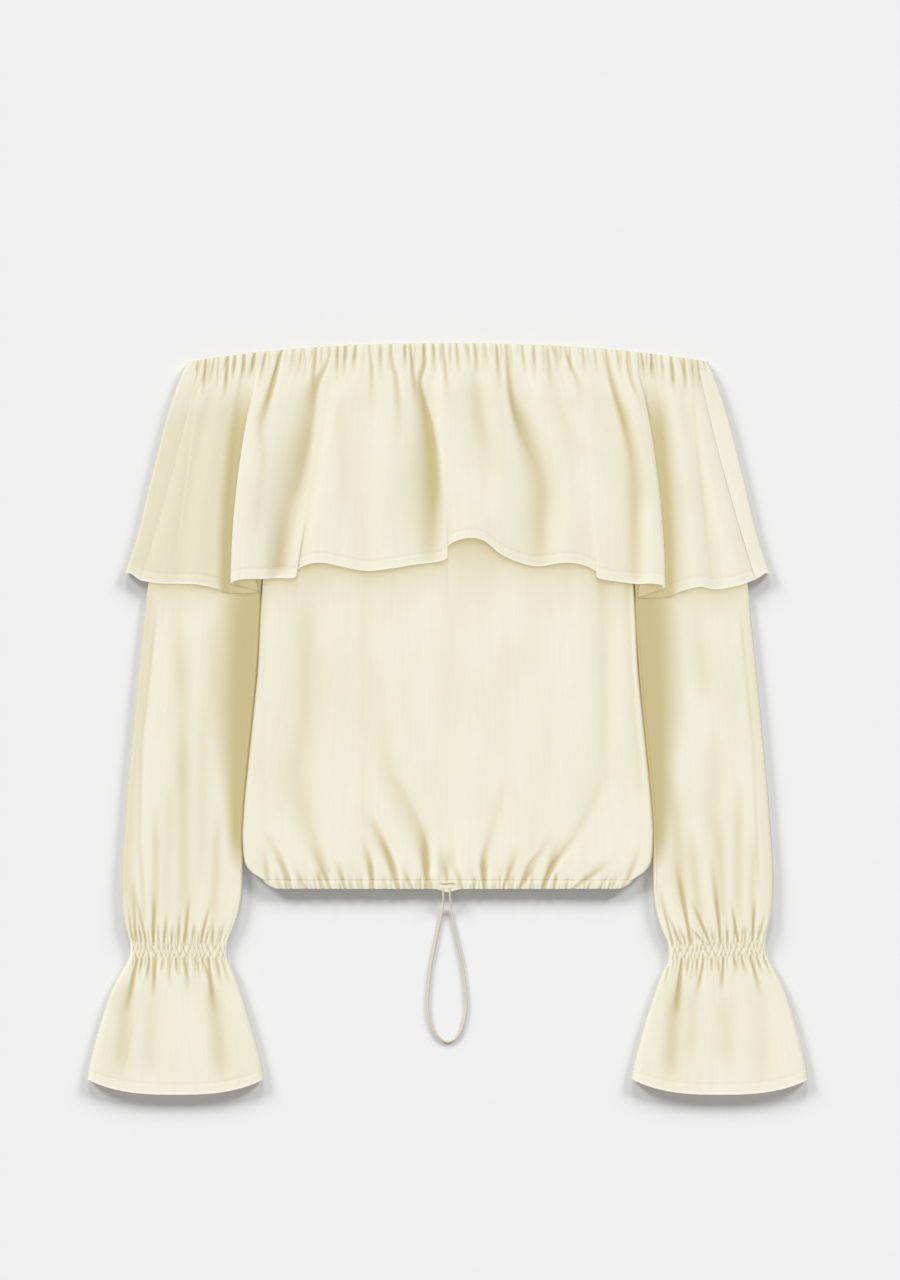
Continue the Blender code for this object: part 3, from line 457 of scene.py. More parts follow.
# Colours, in linear light
CREAM = (0.775, 0.735, 0.59)
CREAM_LIGHT = (0.82, 0.785, 0.655)
# Painted highlight, a paler cream where the cloth would catch the light
CREAM_PAINTED_HIGHLIGHT = (0.88, 0.855, 0.75)
# Painted shade blended into the cream over folds, beside edges and under other cloth, then its deepest tone
CREAM_PAINTED_SHADE = (0.69, 0.625, 0.435)
CREAM_PAINTED_DEEP_SHADE = (0.55, 0.465, 0.235)
THREAD = (0.80, 0.745, 0.58)
# Painted shade in the cord's grooves
CORD_PAINTED_GROOVE_SHADE = (0.66, 0.57, 0.38)
FLOOR = (0.80, 0.80, 0.80)

# How the grain's noises are stretched across and down the cloth
GRAIN_WARP = (1.25, 0.05, 1)
GRAIN_SLUB = (0.35, 0.014, 1)
GRAIN_CLOUD = (0.03, 0.012, 1)


# Sums on arrays


def smooth(start, end, at):
    """0 before start and 1 past end, with a soft step between, in either direction."""
    share = unit((np.asarray(at, float) - start) / (end - start))
    return share * share * (3 - 2 * share)


def mix(a, b, share):
    return a + (b - a) * share


def unit(value):
    return np.clip(value, 0, 1)


def bump(off, width, power=2):
    """1 in the middle of a bump, and less to each side."""
    return np.exp(-((np.abs(off) / width) ** power))


def ripple(x, pitch, sway, drift):
    """Small gathers from 0 to 2 high, whose spacing drifts."""
    return 1 + np.sin(x / pitch + sway * np.sin(x / drift))


def join(*parts):
    return np.concatenate(parts)


def steps(*stretches):
    """Places along stretches of start, end and count that follow each other."""
    parts = [np.linspace(*stretch) for stretch in stretches]
    return join(*(part[:-1] for part in parts[:-1]), parts[-1])


def uneven(number):
    """A spread of shares between 0 and 1, the same one for the same number."""
    return (number * 0.618034 + 0.31) % 1


def spline(rows, at):
    """The columns after the first, on a smooth curve through the rows by the first column."""
    table = np.array(sorted(rows), float)
    at = np.asarray(at, float)
    last = len(table) - 1
    low = np.clip(np.searchsorted(table[:, 0], at, side="right") - 1, 0, last - 1)
    a, b = table[low], table[low + 1]
    before, after = table[np.maximum(low - 1, 0)], table[np.minimum(low + 2, last)]
    span = b[..., :1] - a[..., :1]
    t = (at[..., None] - a[..., :1]) / span
    start_slope = (b - before)[..., 1:] / (b - before)[..., :1] * span
    end_slope = (after - a)[..., 1:] / (after - a)[..., :1] * span
    rise = (b - a)[..., 1:]
    curve = (start_slope + end_slope - 2 * rise) * t + 3 * rise - 2 * start_slope - end_slope
    return np.moveaxis(a[..., 1:] + t * (start_slope + t * curve), -1, 0)


def read(rows, at):
    """The columns after the first at one place, as plain numbers."""
    return [float(value) for value in spline(rows, at)]


def neckline(x):
    return NECK_TOP - NECK_DROP * np.abs(np.asarray(x, float) / NECK_HALF) ** NECK_ROUND


def beside(x, y, row):
    """How far along a line each point is, as a share, how far off it, and the line's length."""
    run_x, run_y = row[2] - row[0], row[3] - row[1]
    length = math.hypot(run_x, run_y)
    share = ((x - row[0]) * run_x + (y - row[1]) * run_y) / length**2
    return share, ((x - row[0]) * run_y - (y - row[1]) * run_x) / length, length


def creases(x, y, rows, narrow, spread):
    """How far gathers press the cloth down. Each is deepest where it starts, and fades and widens."""
    depth = np.zeros(np.broadcast(x, y).shape)
    for row in rows:
        share, off, length = beside(x, y, row)
        width = mix(narrow, narrow + spread * length / 40, unit(share))
        fade = smooth(-0.25, -0.02, share) * (1 - smooth(0.2, 1, share))
        depth += row[4] * fade * bump(off, width, FOLD_POWER)
    return depth


def valleys(x, y, rows):
    """How far long soft folds press the cloth down. Each fades at both of its ends."""
    depth = np.zeros(np.broadcast(x, y).shape)
    for row in rows:
        share, off, _ = beside(x, y, row)
        ends = smooth(-0.2, 0.25, share) * (1 - smooth(0.75, 1.2, share))
        depth += row[4] * ends * bump(off, row[5])
    return depth


def folds(x, y, tables):
    """How far long folds press the cloth down. Each may be crisp on one side and soft on the other."""
    depth = np.zeros(np.broadcast(x, y).shape)
    for rows in tables:
        ys = [row[0] for row in rows]
        middle, deep, left, right = spline(rows, np.clip(y, min(ys), max(ys)))
        width = np.where(x < middle, left, right)
        ends = 1 - smooth(0, 14, min(ys) - y)
        depth += deep * ends * bump(x - middle, width, FOLD_POWER)
    return depth


def fine_gathers(count, start, end, reach, depth):
    """Small gathers between the listed ones: where each is, how far it runs and how deep."""
    found = []
    for number in range(count):
        at = mix(start, end, (number + 0.15 + 0.7 * uneven(number * 3 + 1)) / count)
        found.append((at, mix(*reach, uneven(number * 7)), mix(*depth, uneven(number * 5 + 2))))
    return found


def capped(depth, most):
    return most * np.tanh(depth / most)


def sink(past):
    """How far a piece slips under its neighbour past their seam, so that the two meet smoothly."""
    return 0.075 * np.maximum(past, 0) ** 2


def hem_band(from_edge, along):
    """The turned hem stands a little proud, dips at its row of stitches and puckers between them."""
    band = HEM_BAND_RISE * (1 - smooth(HEM_BAND - 1.4, HEM_BAND + 1.4, from_edge))
    dip = STITCH_DIP * bump(from_edge - HEM_BAND + 0.9, 0.8)
    pucker = 0.09 * np.sin(along / 2.1 + 1.7 * np.sin(along / 17)) * np.sin(along / 9.3)
    shown = smooth(0, 3, from_edge) * (1 - smooth(HEM_BAND, HEM_BAND + 7, from_edge))
    return band - dip + pucker * shown


def hem_shade(from_edge):
    """The faint shade above a hem's row of stitches."""
    return 0.12 * bump(from_edge - HEM_BAND - 0.8, 0.9)


def hem_light(from_edge):
    """How much a hem catches the light: most along its very edge, a little over its doubled band."""
    return 0.8 * bump(from_edge, 1.3) + 0.16 * (1 - smooth(HEM_BAND - 2, HEM_BAND, from_edge))


def bend(edge, side, top, bottom):
    """X and Z round a folded edge, from its upper face to its lower one, without the two ends."""
    radius = (top - bottom) / 2
    turn = np.pi * np.arange(1, BEND_STEPS) / BEND_STEPS
    return edge + side * radius * (np.sin(turn) - 1), bottom + radius + radius * np.cos(turn)


def quarter(top, bottom, closing, count, way):
    """How far out and how high a side's upper half lies for way 1, or its lower half for -1."""
    radius = (top - bottom) / 2
    turn = np.linspace(np.pi / 2, 0, count)[:-1]
    height = mix(top if way > 0 else bottom, bottom + radius + way * radius * np.cos(turn), closing)
    return radius * np.sin(turn), height


def round_row(front, half, top, back):
    """X and Z from the front of a flat tube round its right edge, over its back and round the left."""
    right, left = bend(half, 1, top, 0), bend(-half, -1, top, 0)
    return [join(f, r, b, l[::-1]) for f, r, b, l in zip(front, right, back, left)]


def soften(values, count, ring):
    """Values smoothed across their columns."""
    for _ in range(count):
        left, right = np.roll(values, 1, axis=1), np.roll(values, -1, axis=1)
        if not ring:
            left[:, 0], right[:, -1] = values[:, 0], values[:, -1]
        values = (left + 2 * values + right) / 4
    return values


def hollows(height, ring=False, broad=50):
    """How deep each point lies between what is beside it: 0 in the open and 1 deep in a fold."""
    wide = unit((soften(height, broad, ring) - height) / 2.4)
    return unit(0.85 * wide + 0.45 * unit((soften(height, 5, ring) - height) / 0.45))


def crests(height, ring=False):
    """How far each point stands up between what is beside it."""
    return unit((height - soften(height, 7, ring)) / 0.35)


def run(points, axis):
    """How far along the cloth each row or column of a grid lies."""
    gaps = np.linalg.norm(np.diff(points, axis=axis), axis=2).mean(axis=1 - axis)
    return join([0], np.cumsum(gaps))


# Meshes


def link(name, data):
    obj = bpy.data.objects.new(name, data)
    bpy.context.scene.collection.objects.link(obj)
    return obj


def normalised(vectors):
    return vectors / np.linalg.norm(vectors, axis=-1, keepdims=True)


def normals(outer, ring):
    if ring:
        across = np.roll(outer, -1, axis=1) - np.roll(outer, 1, axis=1)
    else:
        across = np.gradient(outer, axis=1)
    return normalised(np.cross(np.gradient(outer, axis=0), across))


def turned(grid, ring, way):
    """Rows past the last one of a grid, which turn its edge under. Rows run down for way 1."""
    normal = way * normals(grid, ring)[-1]
    away = grid[-1] - grid[-2]
    away = normalised(away - np.sum(away * normal, axis=1, keepdims=True) * normal)
    turn = math.radians(155) * np.arange(1, TURN_ROWS + 1)[:, None, None] / TURN_ROWS
    return grid[-1] + EDGE_TURN * (np.sin(turn) * away - (1 - np.cos(turn)) * normal)


def quads(rows, columns):
    """Row and column numbers of the corners of a grid's faces."""
    r, c = (part.ravel() for part in np.meshgrid(np.arange(rows), np.arange(columns), indexing="ij"))
    return np.stack([r, r + 1, r + 1, r], axis=1), np.stack([c, c, c + 1, c + 1], axis=1)


def rim(count):
    """The corners of faces that join the outer and inner edge, both ways round, and their layers."""
    at = np.arange(count)
    there = np.stack([at, at + 1, at + 1, at], axis=1)
    return there, there[:, [1, 0, 3, 2]], np.tile([0, 0, 1, 1], (count, 1))


def make_mesh(name, points, faces, uv, finish):
    """A smooth mesh from points in mm, the corners of its faces and their UV."""
    mesh = bpy.data.meshes.new(name)
    mesh.from_pydata((points.reshape(-1, 3) * MM).tolist(), [], faces)
    mesh.uv_layers.new(name="cloth").data.foreach_set("uv", uv.astype(np.float32).ravel())
    mesh.shade_smooth()
    mesh.materials.append(finish)
    return link(name, mesh)


def shell(name, outer, finish, ring, turn_top, turn_end, u, shades):
    """Cloth from a grid of outer points whose rows run down it, and with columns that may close."""
    turns = (TURN_ROWS * turn_top, TURN_ROWS * turn_end)
    if turn_top:
        outer = join(turned(outer[::-1], ring, -1)[::-1], outer)
    if turn_end:
        outer = join(outer, turned(outer, ring, 1))
    rows, columns = outer.shape[:2]
    inner = outer - CLOTH * normals(outer, ring)
    v = run(outer, 0)
    if u is None:
        u = run(np.concatenate([outer, outer[:, :1]], axis=1), 1)
    else:
        v -= v[-1]
    count = columns if ring else columns - 1
    down, over = quads(rows - 1, count)
    faces = [(0 * down, down, over), (0 * down + 1, down[:, ::-1], over[:, ::-1])]
    there, back, layers = rim(count)
    faces += [(layers, 0 * there, there), (layers, 0 * there + rows - 1, back)]
    if not ring:
        there, back, layers = rim(rows - 1)
        faces += [(layers, back, 0 * there), (layers, there, 0 * there + columns - 1)]
    layer, down, over = (np.concatenate(part) for part in zip(*faces))
    corners = (layer * rows + down) * columns + over % columns
    uv = np.stack([u[over], v[down]], axis=2)
    obj = make_mesh(name, np.stack([outer, inner]), corners.tolist(), uv, finish)
    # Stores the painted shade and the painted highlight on the points, for the finish to blend into the
    # colour
    for key in ("fold", "near", "lit"):
        shade = np.pad(shades.get(key, np.zeros((rows - sum(turns), columns))), (turns, (0, 0)), mode="edge")
        values = np.tile(shade.ravel(), 2).astype(np.float32)
        obj.data.attributes.new(key, "FLOAT", "POINT").data.foreach_set("value", values)
    rims = np.arange(len(corners)) >= 2 * (rows - 1) * count
    obj.data.attributes.new("sharp_face", "BOOLEAN", "FACE").data.foreach_set("value", rims)
    return obj


def dress(obj, nodes):
    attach(obj, "root")
    if nodes:
        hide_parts(*nodes)


def make_cloth(
    node, outer, finish, flat, held="gathered", rests_on=("floor",),
    ring=False, turn_top=False, turn_end=False, u=None, **shades,
):
    """One sheet in the place of a solid. flat is the cut of what shows, in metres, and is not used.

    fold gives the painted shade of folds at each point, the edge shade the painted shade beside edges
    and under the cloth over it, lit the painted highlight where it would catch the light, and u how
    far across the cloth each column lies.
    """
    piece = shell(f"{node}_cloth", outer, finish, ring, turn_top, turn_end, u, shades)
    dress(piece, [node])


# Finishes


class Link:
    """A socket that a value comes from, so that a sum on it adds the Math nodes."""

    def __init__(self, kit, socket):
        self.kit = kit
        self.socket = socket

    def __add__(self, other):
        return self.kit.sum("ADD", self, other)

    def __sub__(self, other):
        return self.kit.sum("SUBTRACT", self, other)

    def __rsub__(self, other):
        return self.kit.sum("SUBTRACT", other, self)

    def __mul__(self, other):
        return self.kit.sum("MULTIPLY", self, other)

    __radd__ = __add__
    __rmul__ = __mul__


class Kit:
    """A tree whose nodes are added one by one."""

    def __init__(self, tree):
        self.tree = tree

    def node(self, kind, settings=None, values=None, out=0):
        """Adds a node: its settings first, then the values or links of its sockets."""
        made = self.tree.nodes.new(kind)
        for key, value in (settings or {}).items():
            setattr(made, key, value)
        for key, value in (values or {}).items():
            self.put(made.inputs[key], value)
        return Link(self, made.outputs[out])

    def put(self, socket, value):
        if isinstance(value, Link):
            self.tree.links.new(value.socket, socket)
        else:
            socket.default_value = value


class Finish(Kit):
    """A material whose constants are set on its shader."""

    def __init__(self, name, **constants):
        self.material = bpy.data.materials.new(name)
        self.material.use_nodes = True
        super().__init__(self.material.node_tree)
        self.shader = self.tree.nodes["Principled BSDF"]
        for key, value in constants.items():
            self.shader.inputs[key.replace("_", " ")].default_value = value

    def sum(self, operation, a, b):
        return self.node("ShaderNodeMath", {"operation": operation}, {0: a, 1: b})

    def unit(self, value):
        return self.node("ShaderNodeClamp", None, {"Value": value})

    def blend(self, share, a, b):
        """One colour turning into another."""
        a, b = (value if isinstance(value, Link) else (*value, 1) for value in (a, b))
        return self.node("ShaderNodeMix", {"data_type": "RGBA"}, {0: share, 6: a, 7: b}, out=2)

    def place(self):
        return self.node("ShaderNodeUVMap", {"uv_map": "cloth"})

    def attribute(self, name):
        return self.node("ShaderNodeAttribute", {"attribute_name": name}, out=2)

    def noise(self, place, scale, stretch=(1, 1, 1), detail=2):
        spot = self.node("ShaderNodeMapping", None, {"Vector": place, "Scale": stretch})
        return self.node("ShaderNodeTexNoise", None, {"Vector": spot, "Scale": scale, "Detail": detail})

    def surface(self, colour, roughness, height=None, depth=0.0, strength=1.0):
        self.put(self.shader.inputs["Base Color"], colour)
        self.put(self.shader.inputs["Roughness"], roughness)
        if height is not None:
            relief = {"Height": height, "Distance": depth, "Strength": strength}
            self.put(self.shader.inputs["Normal"], self.node("ShaderNodeBump", None, relief))
        return self.material


def crepe(name):
    """Smooth crepe with a faint lengthwise grain, with painted shade, warmer and darker, in its folds and
    beside edges, and a painted highlight.
    """
    kit = Finish(name, Sheen_Weight=0.12, Sheen_Roughness=0.45, Specular_IOR_Level=0.25)
    spot = kit.place()
    pebble = kit.noise(spot, 2.1, detail=3)
    warp, slub, cloud = (kit.noise(spot, 1, stretch) for stretch in (GRAIN_WARP, GRAIN_SLUB, GRAIN_CLOUD))
    tone = kit.unit(0.5 + (warp - 0.5) * 0.7 + (slub - 0.5) * 1.1 + (cloud - 0.5) * 1.6)
    # How much painted shade each point gets, from its fold shade and edge shade attributes
    painted_shade = kit.unit(kit.attribute("fold") + kit.attribute("near"))
    cloth = kit.blend(tone, CREAM, CREAM_LIGHT)
    cloth = kit.blend(kit.unit(painted_shade * 2), cloth, CREAM_PAINTED_SHADE)
    cloth = kit.blend(kit.unit(painted_shade * 2 - 1), cloth, CREAM_PAINTED_DEEP_SHADE)
    # Painted highlight where the lit attribute says the cloth would catch the light
    cloth = kit.blend(kit.unit(kit.attribute("lit")), cloth, CREAM_PAINTED_HIGHLIGHT)
    return kit.surface(cloth, 0.78 + warp * 0.14, pebble * 0.5 + warp * 0.9 + slub * 1.2, 0.00012, 0.7)


def thread(name):
    """Sewing thread, a little glossier than the cloth."""
    kit = Finish(name, Sheen_Weight=0.2, Specular_IOR_Level=0.4)
    twist = kit.noise(kit.node("ShaderNodeTexCoord", out=3), 2600)
    return kit.surface(kit.blend(twist, THREAD, CREAM_LIGHT), 0.5 + twist * 0.2, twist, 0.00006)


def braid(name):
    """Fine round braided elastic."""
    kit = Finish(name, Sheen_Weight=0.25, Specular_IOR_Level=0.35)
    spot = kit.place()
    ways = []
    for slant in (0.9, -0.9):
        way = kit.node("ShaderNodeMapping", None, {"Vector": spot, "Rotation": (0, 0, slant)})
        ways.append(kit.node("ShaderNodeTexWave", {"wave_profile": "SIN"}, {"Vector": way, "Scale": 0.62}, 1))
    strands = ways[0] * ways[1]
    fuzz = kit.noise(spot, 3)
    # Painted shade: the grooves between the strands are darker, with a random tone from the fuzz
    colour = kit.blend(kit.unit(strands * 0.8 + fuzz * 0.3), CORD_PAINTED_GROOVE_SHADE, CREAM_LIGHT)
    return kit.surface(colour, 0.55 + fuzz * 0.2, strands + fuzz * 0.3, 0.00012)


def studio_paper(name):
    """Smooth pale studio paper."""
    kit = Finish(name, Specular_IOR_Level=0.1)
    tooth = kit.noise(kit.node("ShaderNodeTexCoord", out=3), 900)
    return kit.surface(kit.blend(tooth, FLOOR, [1.004 * share for share in FLOOR]), 0.92 + tooth * 0.04)


# Camera


def make_camera():
    lens = bpy.data.cameras.new("camera")
    lens.lens = LENS
    lens.sensor_width = SENSOR
    lens.clip_end = 20
    camera = link("camera", lens)
    height = VIEW_HEIGHT * LENS / SENSOR + FLOUNCE_REST
    camera.location = (VIEW_CENTRE[0] * MM, VIEW_CENTRE[1] * MM, height * MM)
    bpy.context.scene.camera = camera


# Drawcord


def lengths(points):
    return np.linalg.norm(np.diff(points, axis=0), axis=1)


def cord_path():
    gone = join([0], np.cumsum(lengths(np.array(CORD_ROUTE))))
    rows = [(at, *point) for at, point in zip(gone, CORD_ROUTE)]
    return spline(rows, np.linspace(0, gone[-1], round(gone[-1] / CORD_STEP) + 1)).T


def make_drawcord(finish):
    path = cord_path()
    ahead = normalised(np.gradient(path, axis=0))
    beside_it = normalised(np.cross(ahead, (0, 0, 1)))
    above = np.cross(beside_it, ahead)
    turn = 2 * np.pi * np.arange(CORD_SIDES)[:, None] / CORD_SIDES
    way_round = np.cos(turn) * beside_it[:, None] + np.sin(turn) * above[:, None]
    points = path[:, None] + CORD_ACROSS / 2 * way_round
    grid = quads(len(path) - 1, CORD_SIDES)
    down, over = (np.roll(part[:, ::-1], 1, axis=1) for part in grid)
    faces = (down * CORD_SIDES + over % CORD_SIDES).tolist()
    start = list(range(CORD_SIDES))
    faces += [start[::-1], [(len(path) - 1) * CORD_SIDES + number for number in start]]
    uv = np.stack([over * np.pi * CORD_ACROSS / CORD_SIDES, down * CORD_STEP], axis=2).reshape(-1, 2)
    cord = make_mesh("drawcord_braid", points, faces, join(uv, np.zeros((2 * CORD_SIDES, 2))), finish)
    dress(cord, ["drawcord"])
    float(round(lengths(path).sum())) * MM


# Stitches


def stitch_nodes():
    """Repeats a small rounded stitch along lines of edges."""
    tree = bpy.data.node_groups.new("stitches", "GeometryNodeTree")
    sockets = {"Lines": "Geometry", "Pitch": "Float", "Length": "Float", "Width": "Float", "Height": "Float"}
    sockets.update({"Across": "Bool", "Finish": "Material"})
    for name, kind in sockets.items():
        tree.interface.new_socket(name, in_out="INPUT", socket_type=f"NodeSocket{kind}")
    tree.interface.new_socket("Stitches", in_out="OUTPUT", socket_type="NodeSocketGeometry")
    kit = Kit(tree)
    outputs = tree.nodes.new("NodeGroupInput").outputs
    given = {socket.name: Link(kit, socket) for socket in outputs if socket.name}
    curve = kit.node("GeometryNodeMeshToCurve", None, {"Mesh": given["Lines"]})
    spacing = {"Curve": curve, "Length": given["Pitch"]}
    spaced = kit.node("GeometryNodeResampleCurve", {"mode": "LENGTH"}, spacing)
    ball = kit.node("GeometryNodeMeshUVSphere", None, {"Segments": 6, "Rings": 4, "Radius": 0.5})
    sides = {"X": given["Length"], "Y": given["Width"], "Z": given["Height"]}
    size = kit.node("ShaderNodeCombineXYZ", None, sides)
    along = kit.node("GeometryNodeInputTangent")
    over = kit.node("ShaderNodeVectorMath", {"operation": "CROSS_PRODUCT"}, {0: along, 1: (0, 0, 1)})
    ways = {"Switch": given["Across"], "False": along, "True": over}
    way = kit.node("GeometryNodeSwitch", {"input_type": "VECTOR"}, ways)
    turn = kit.node("FunctionNodeAlignRotationToVector", {"axis": "X"}, {"Vector": way})
    laid = {"Points": spaced, "Instance": ball, "Rotation": turn, "Scale": size}
    sewn = kit.node("GeometryNodeInstanceOnPoints", None, laid)
    real = kit.node("GeometryNodeRealizeInstances", None, {0: sewn})
    dressed = kit.node("GeometryNodeSetMaterial", None, {"Geometry": real, "Material": given["Finish"]})
    rounded = kit.node("GeometryNodeSetShadeSmooth", None, {"Geometry": dressed})
    kit.put(tree.nodes.new("NodeGroupOutput").inputs["Stitches"], rounded)
    return tree


def make_stitches(name, lines, nodes, finish, size=(2.9, 2.1, 0.32, 0.26), across=False, instead=()):
    """Stitches along rows of points. size is their pitch, length, width and height."""
    edges, start = [], 0
    for line in lines:
        edges += [(start + number, start + number + 1) for number in range(len(line) - 1)]
        start += len(line)
    mesh = bpy.data.meshes.new(name)
    mesh.from_pydata((join(*lines) * MM).tolist(), edges, [])
    guide = link(name, mesh)
    sewn = guide.modifiers.new("sewn", "NODES")
    sewn.node_group = nodes
    given = dict(zip(("Pitch", "Length", "Width", "Height"), (value * MM for value in size)))
    given.update({"Across": across, "Finish": finish})
    for item in nodes.interface.items_tree:
        if item.in_out == "INPUT" and item.name in given:
            sewn[item.identifier] = given[item.name]
    made = bpy.data.meshes.new_from_object(guide.evaluated_get(bpy.context.evaluated_depsgraph_get()))
    guide.modifiers.remove(sewn)
    guide.data = made
    made.name = name
    dress(guide, instead)


def hem_line(outer):
    """The row of a grid where its hem is sewn, a little above the cloth."""
    middle = outer[:, outer.shape[1] // 4]
    gone = np.cumsum(lengths(middle[::-1]))
    row = outer[len(outer) - 2 - int(np.searchsorted(gone, HEM_SEAM))]
    return row + np.array((0, 0, 0.06))


def slot_y(x):
    """The line of the cord's slot, which waves and droops at its right end."""
    return HOLE_Y + 0.25 * np.sin(x / 2.2) - 0.5 * smooth(4, 8, x)


def buttonhole_line():
    turn = np.linspace(0, 2 * np.pi, 60)
    x = HOLE_X + (HOLE_LENGTH / 2 + 0.4) * np.cos(turn)
    return np.stack([x, slot_y(x) + 1.4 * np.sin(turn), np.full(60, CHANNEL_REST + 0.65)], axis=1)


# Flounce and neckline


def flounce_folds():
    """Rows of the whole front flounce for spline, from its left seam to its right one."""
    left, right = [], []
    for neck, half_way, hem, left_y, right_y, *lifts in ARMHOLE_FOLD:
        left.append((-neck, -half_way, -hem, left_y, *lifts))
        right.insert(0, (neck, half_way, hem, right_y, *lifts))
    return [(number, *row) for number, row in enumerate(left + list(FRONT_FOLDS) + right)]


FOLDS = flounce_folds()
LAST_FOLD = len(FOLDS) - 1


def neck_dents(x, y):
    rows = []
    for top, end, reach, deep in NECK_CREASES:
        start = float(neckline(top))
        rows.append((top, start, mix(top, end, 1.6), start - 12 - 1.5 * reach, 1.15 * deep))
    for number, (at, reach, deep) in enumerate(fine_gathers(52, -229, 229, (10, 40), (0.2, 0.75))):
        start = float(neckline(at))
        lean = 5 * (uneven(number * 2) - 0.5)
        rows.append((at, start, 1.015 * at + lean, start - reach, deep))
    return creases(x, y, rows, 0.85, 1.7)


def neck_rise(x, y):
    """The flat puffs between the neckline's gathers, and the painted shade that darkens the dents between
    them and the long folds.
    """
    puff = GATHER_RISE * (1 - smooth(0, GATHER_FADE, neckline(x) - y))
    dents = neck_dents(x, y)
    long = folds(x, y, FLOUNCE_FOLDS)
    return puff - capped(1.4 * dents + long, 3.2), 0.9 * unit(dents) + 0.95 * unit(long / 2.2)


def flounce_places():
    """Places along the folds, at most 1.6 mm apart."""
    places = []
    for number, (row, after) in enumerate(zip(FOLDS, FOLDS[1:])):
        count = math.ceil(max(abs(after[1] - row[1]), abs(after[3] - row[3]), 5) / 1.6)
        places += [number + step / count for step in range(count)]
    return np.array(places + [LAST_FOLD], float)


def fold_x(neck, half_way, hem, share):
    """X down a fold, on a curve through its top, middle and hem."""
    x = neck * (1 - share) * (1 - 2 * share) + half_way * 4 * share * (1 - share)
    return x + hem * share * (2 * share - 1)


def flounce_grid():
    shares = join(np.array(UNDER_SEAM) / FLOUNCE_DEPTH, steps((0, 0.3, 33), (0.3, 0.93, 38), (0.93, 1, 20)))
    place, share = np.meshgrid(flounce_places(), shares)
    neck, half_way, hem, hem_y, high, half, low = spline(FOLDS, place)
    x = fold_x(neck, half_way, hem, share)
    y = mix(neckline(neck) - NECK_CHANNEL, hem_y, share)
    lift = mix(high * smooth(0, 0.22, share), half, smooth(0.22, 0.55, share))
    lift = mix(lift, low, smooth(0.6, 1, share))
    rise, tone = neck_rise(x, y)
    from_side = np.minimum(place, LAST_FOLD - place)
    in_fold = 1 - smooth(9.6, 10.4, from_side)
    flat = smooth(4.4, 5, from_side) * in_fold * smooth(0, 0.08, share)
    z = FLOUNCE_REST + lift + rise * smooth(0, 1, from_side) * (1 - flat)
    z -= 0.4 * (1 - smooth(0, 0.3, from_side)) * smooth(0, 0.03, share) + sink(-share * FLOUNCE_DEPTH)
    # Painted shade just inside each armhole fold
    shaded = smooth(3.2, 4.9, from_side) * in_fold * smooth(0.02, 0.3, share)
    fold = unit(tone * (1 - flat) + 0.3 * hollows(lift, broad=90) + 0.85 * shaded)
    from_edge = (1 - share) * FLOUNCE_DEPTH
    z += hem_band(from_edge, x)
    # Painted shade over the left end of the flounce outside its armhole fold, and above the hem's stitches
    outside = smooth(-160, -186, x) * smooth(9.9, 9, from_side)
    fold = np.maximum(fold, 0.3 * outside * smooth(0, 0.25, share)) + hem_shade(from_edge)
    # Painted highlight along the hem, on each armhole fold's crest and on the crests below the neckline
    lit = hem_light(from_edge) + 0.7 * bump(from_side - 10.7, 0.35) * smooth(0.1, 0.4, share)
    lit += 0.35 * crests(z) * (1 - smooth(0.05, 0.3, share))
    return np.stack([x, y, z], axis=2), fold, lit * (1 - shaded)


def make_flounce_front(finish):
    outer, fold, lit = flounce_grid()
    under = ("body_front_cloth", "sleeve_left_cloth", "sleeve_right_cloth")
    make_cloth(
        "flounce_front", outer, finish, flat=(0.66, 0.215), rests_on=under, turn_end=True, fold=fold, lit=lit
    )
    return outer


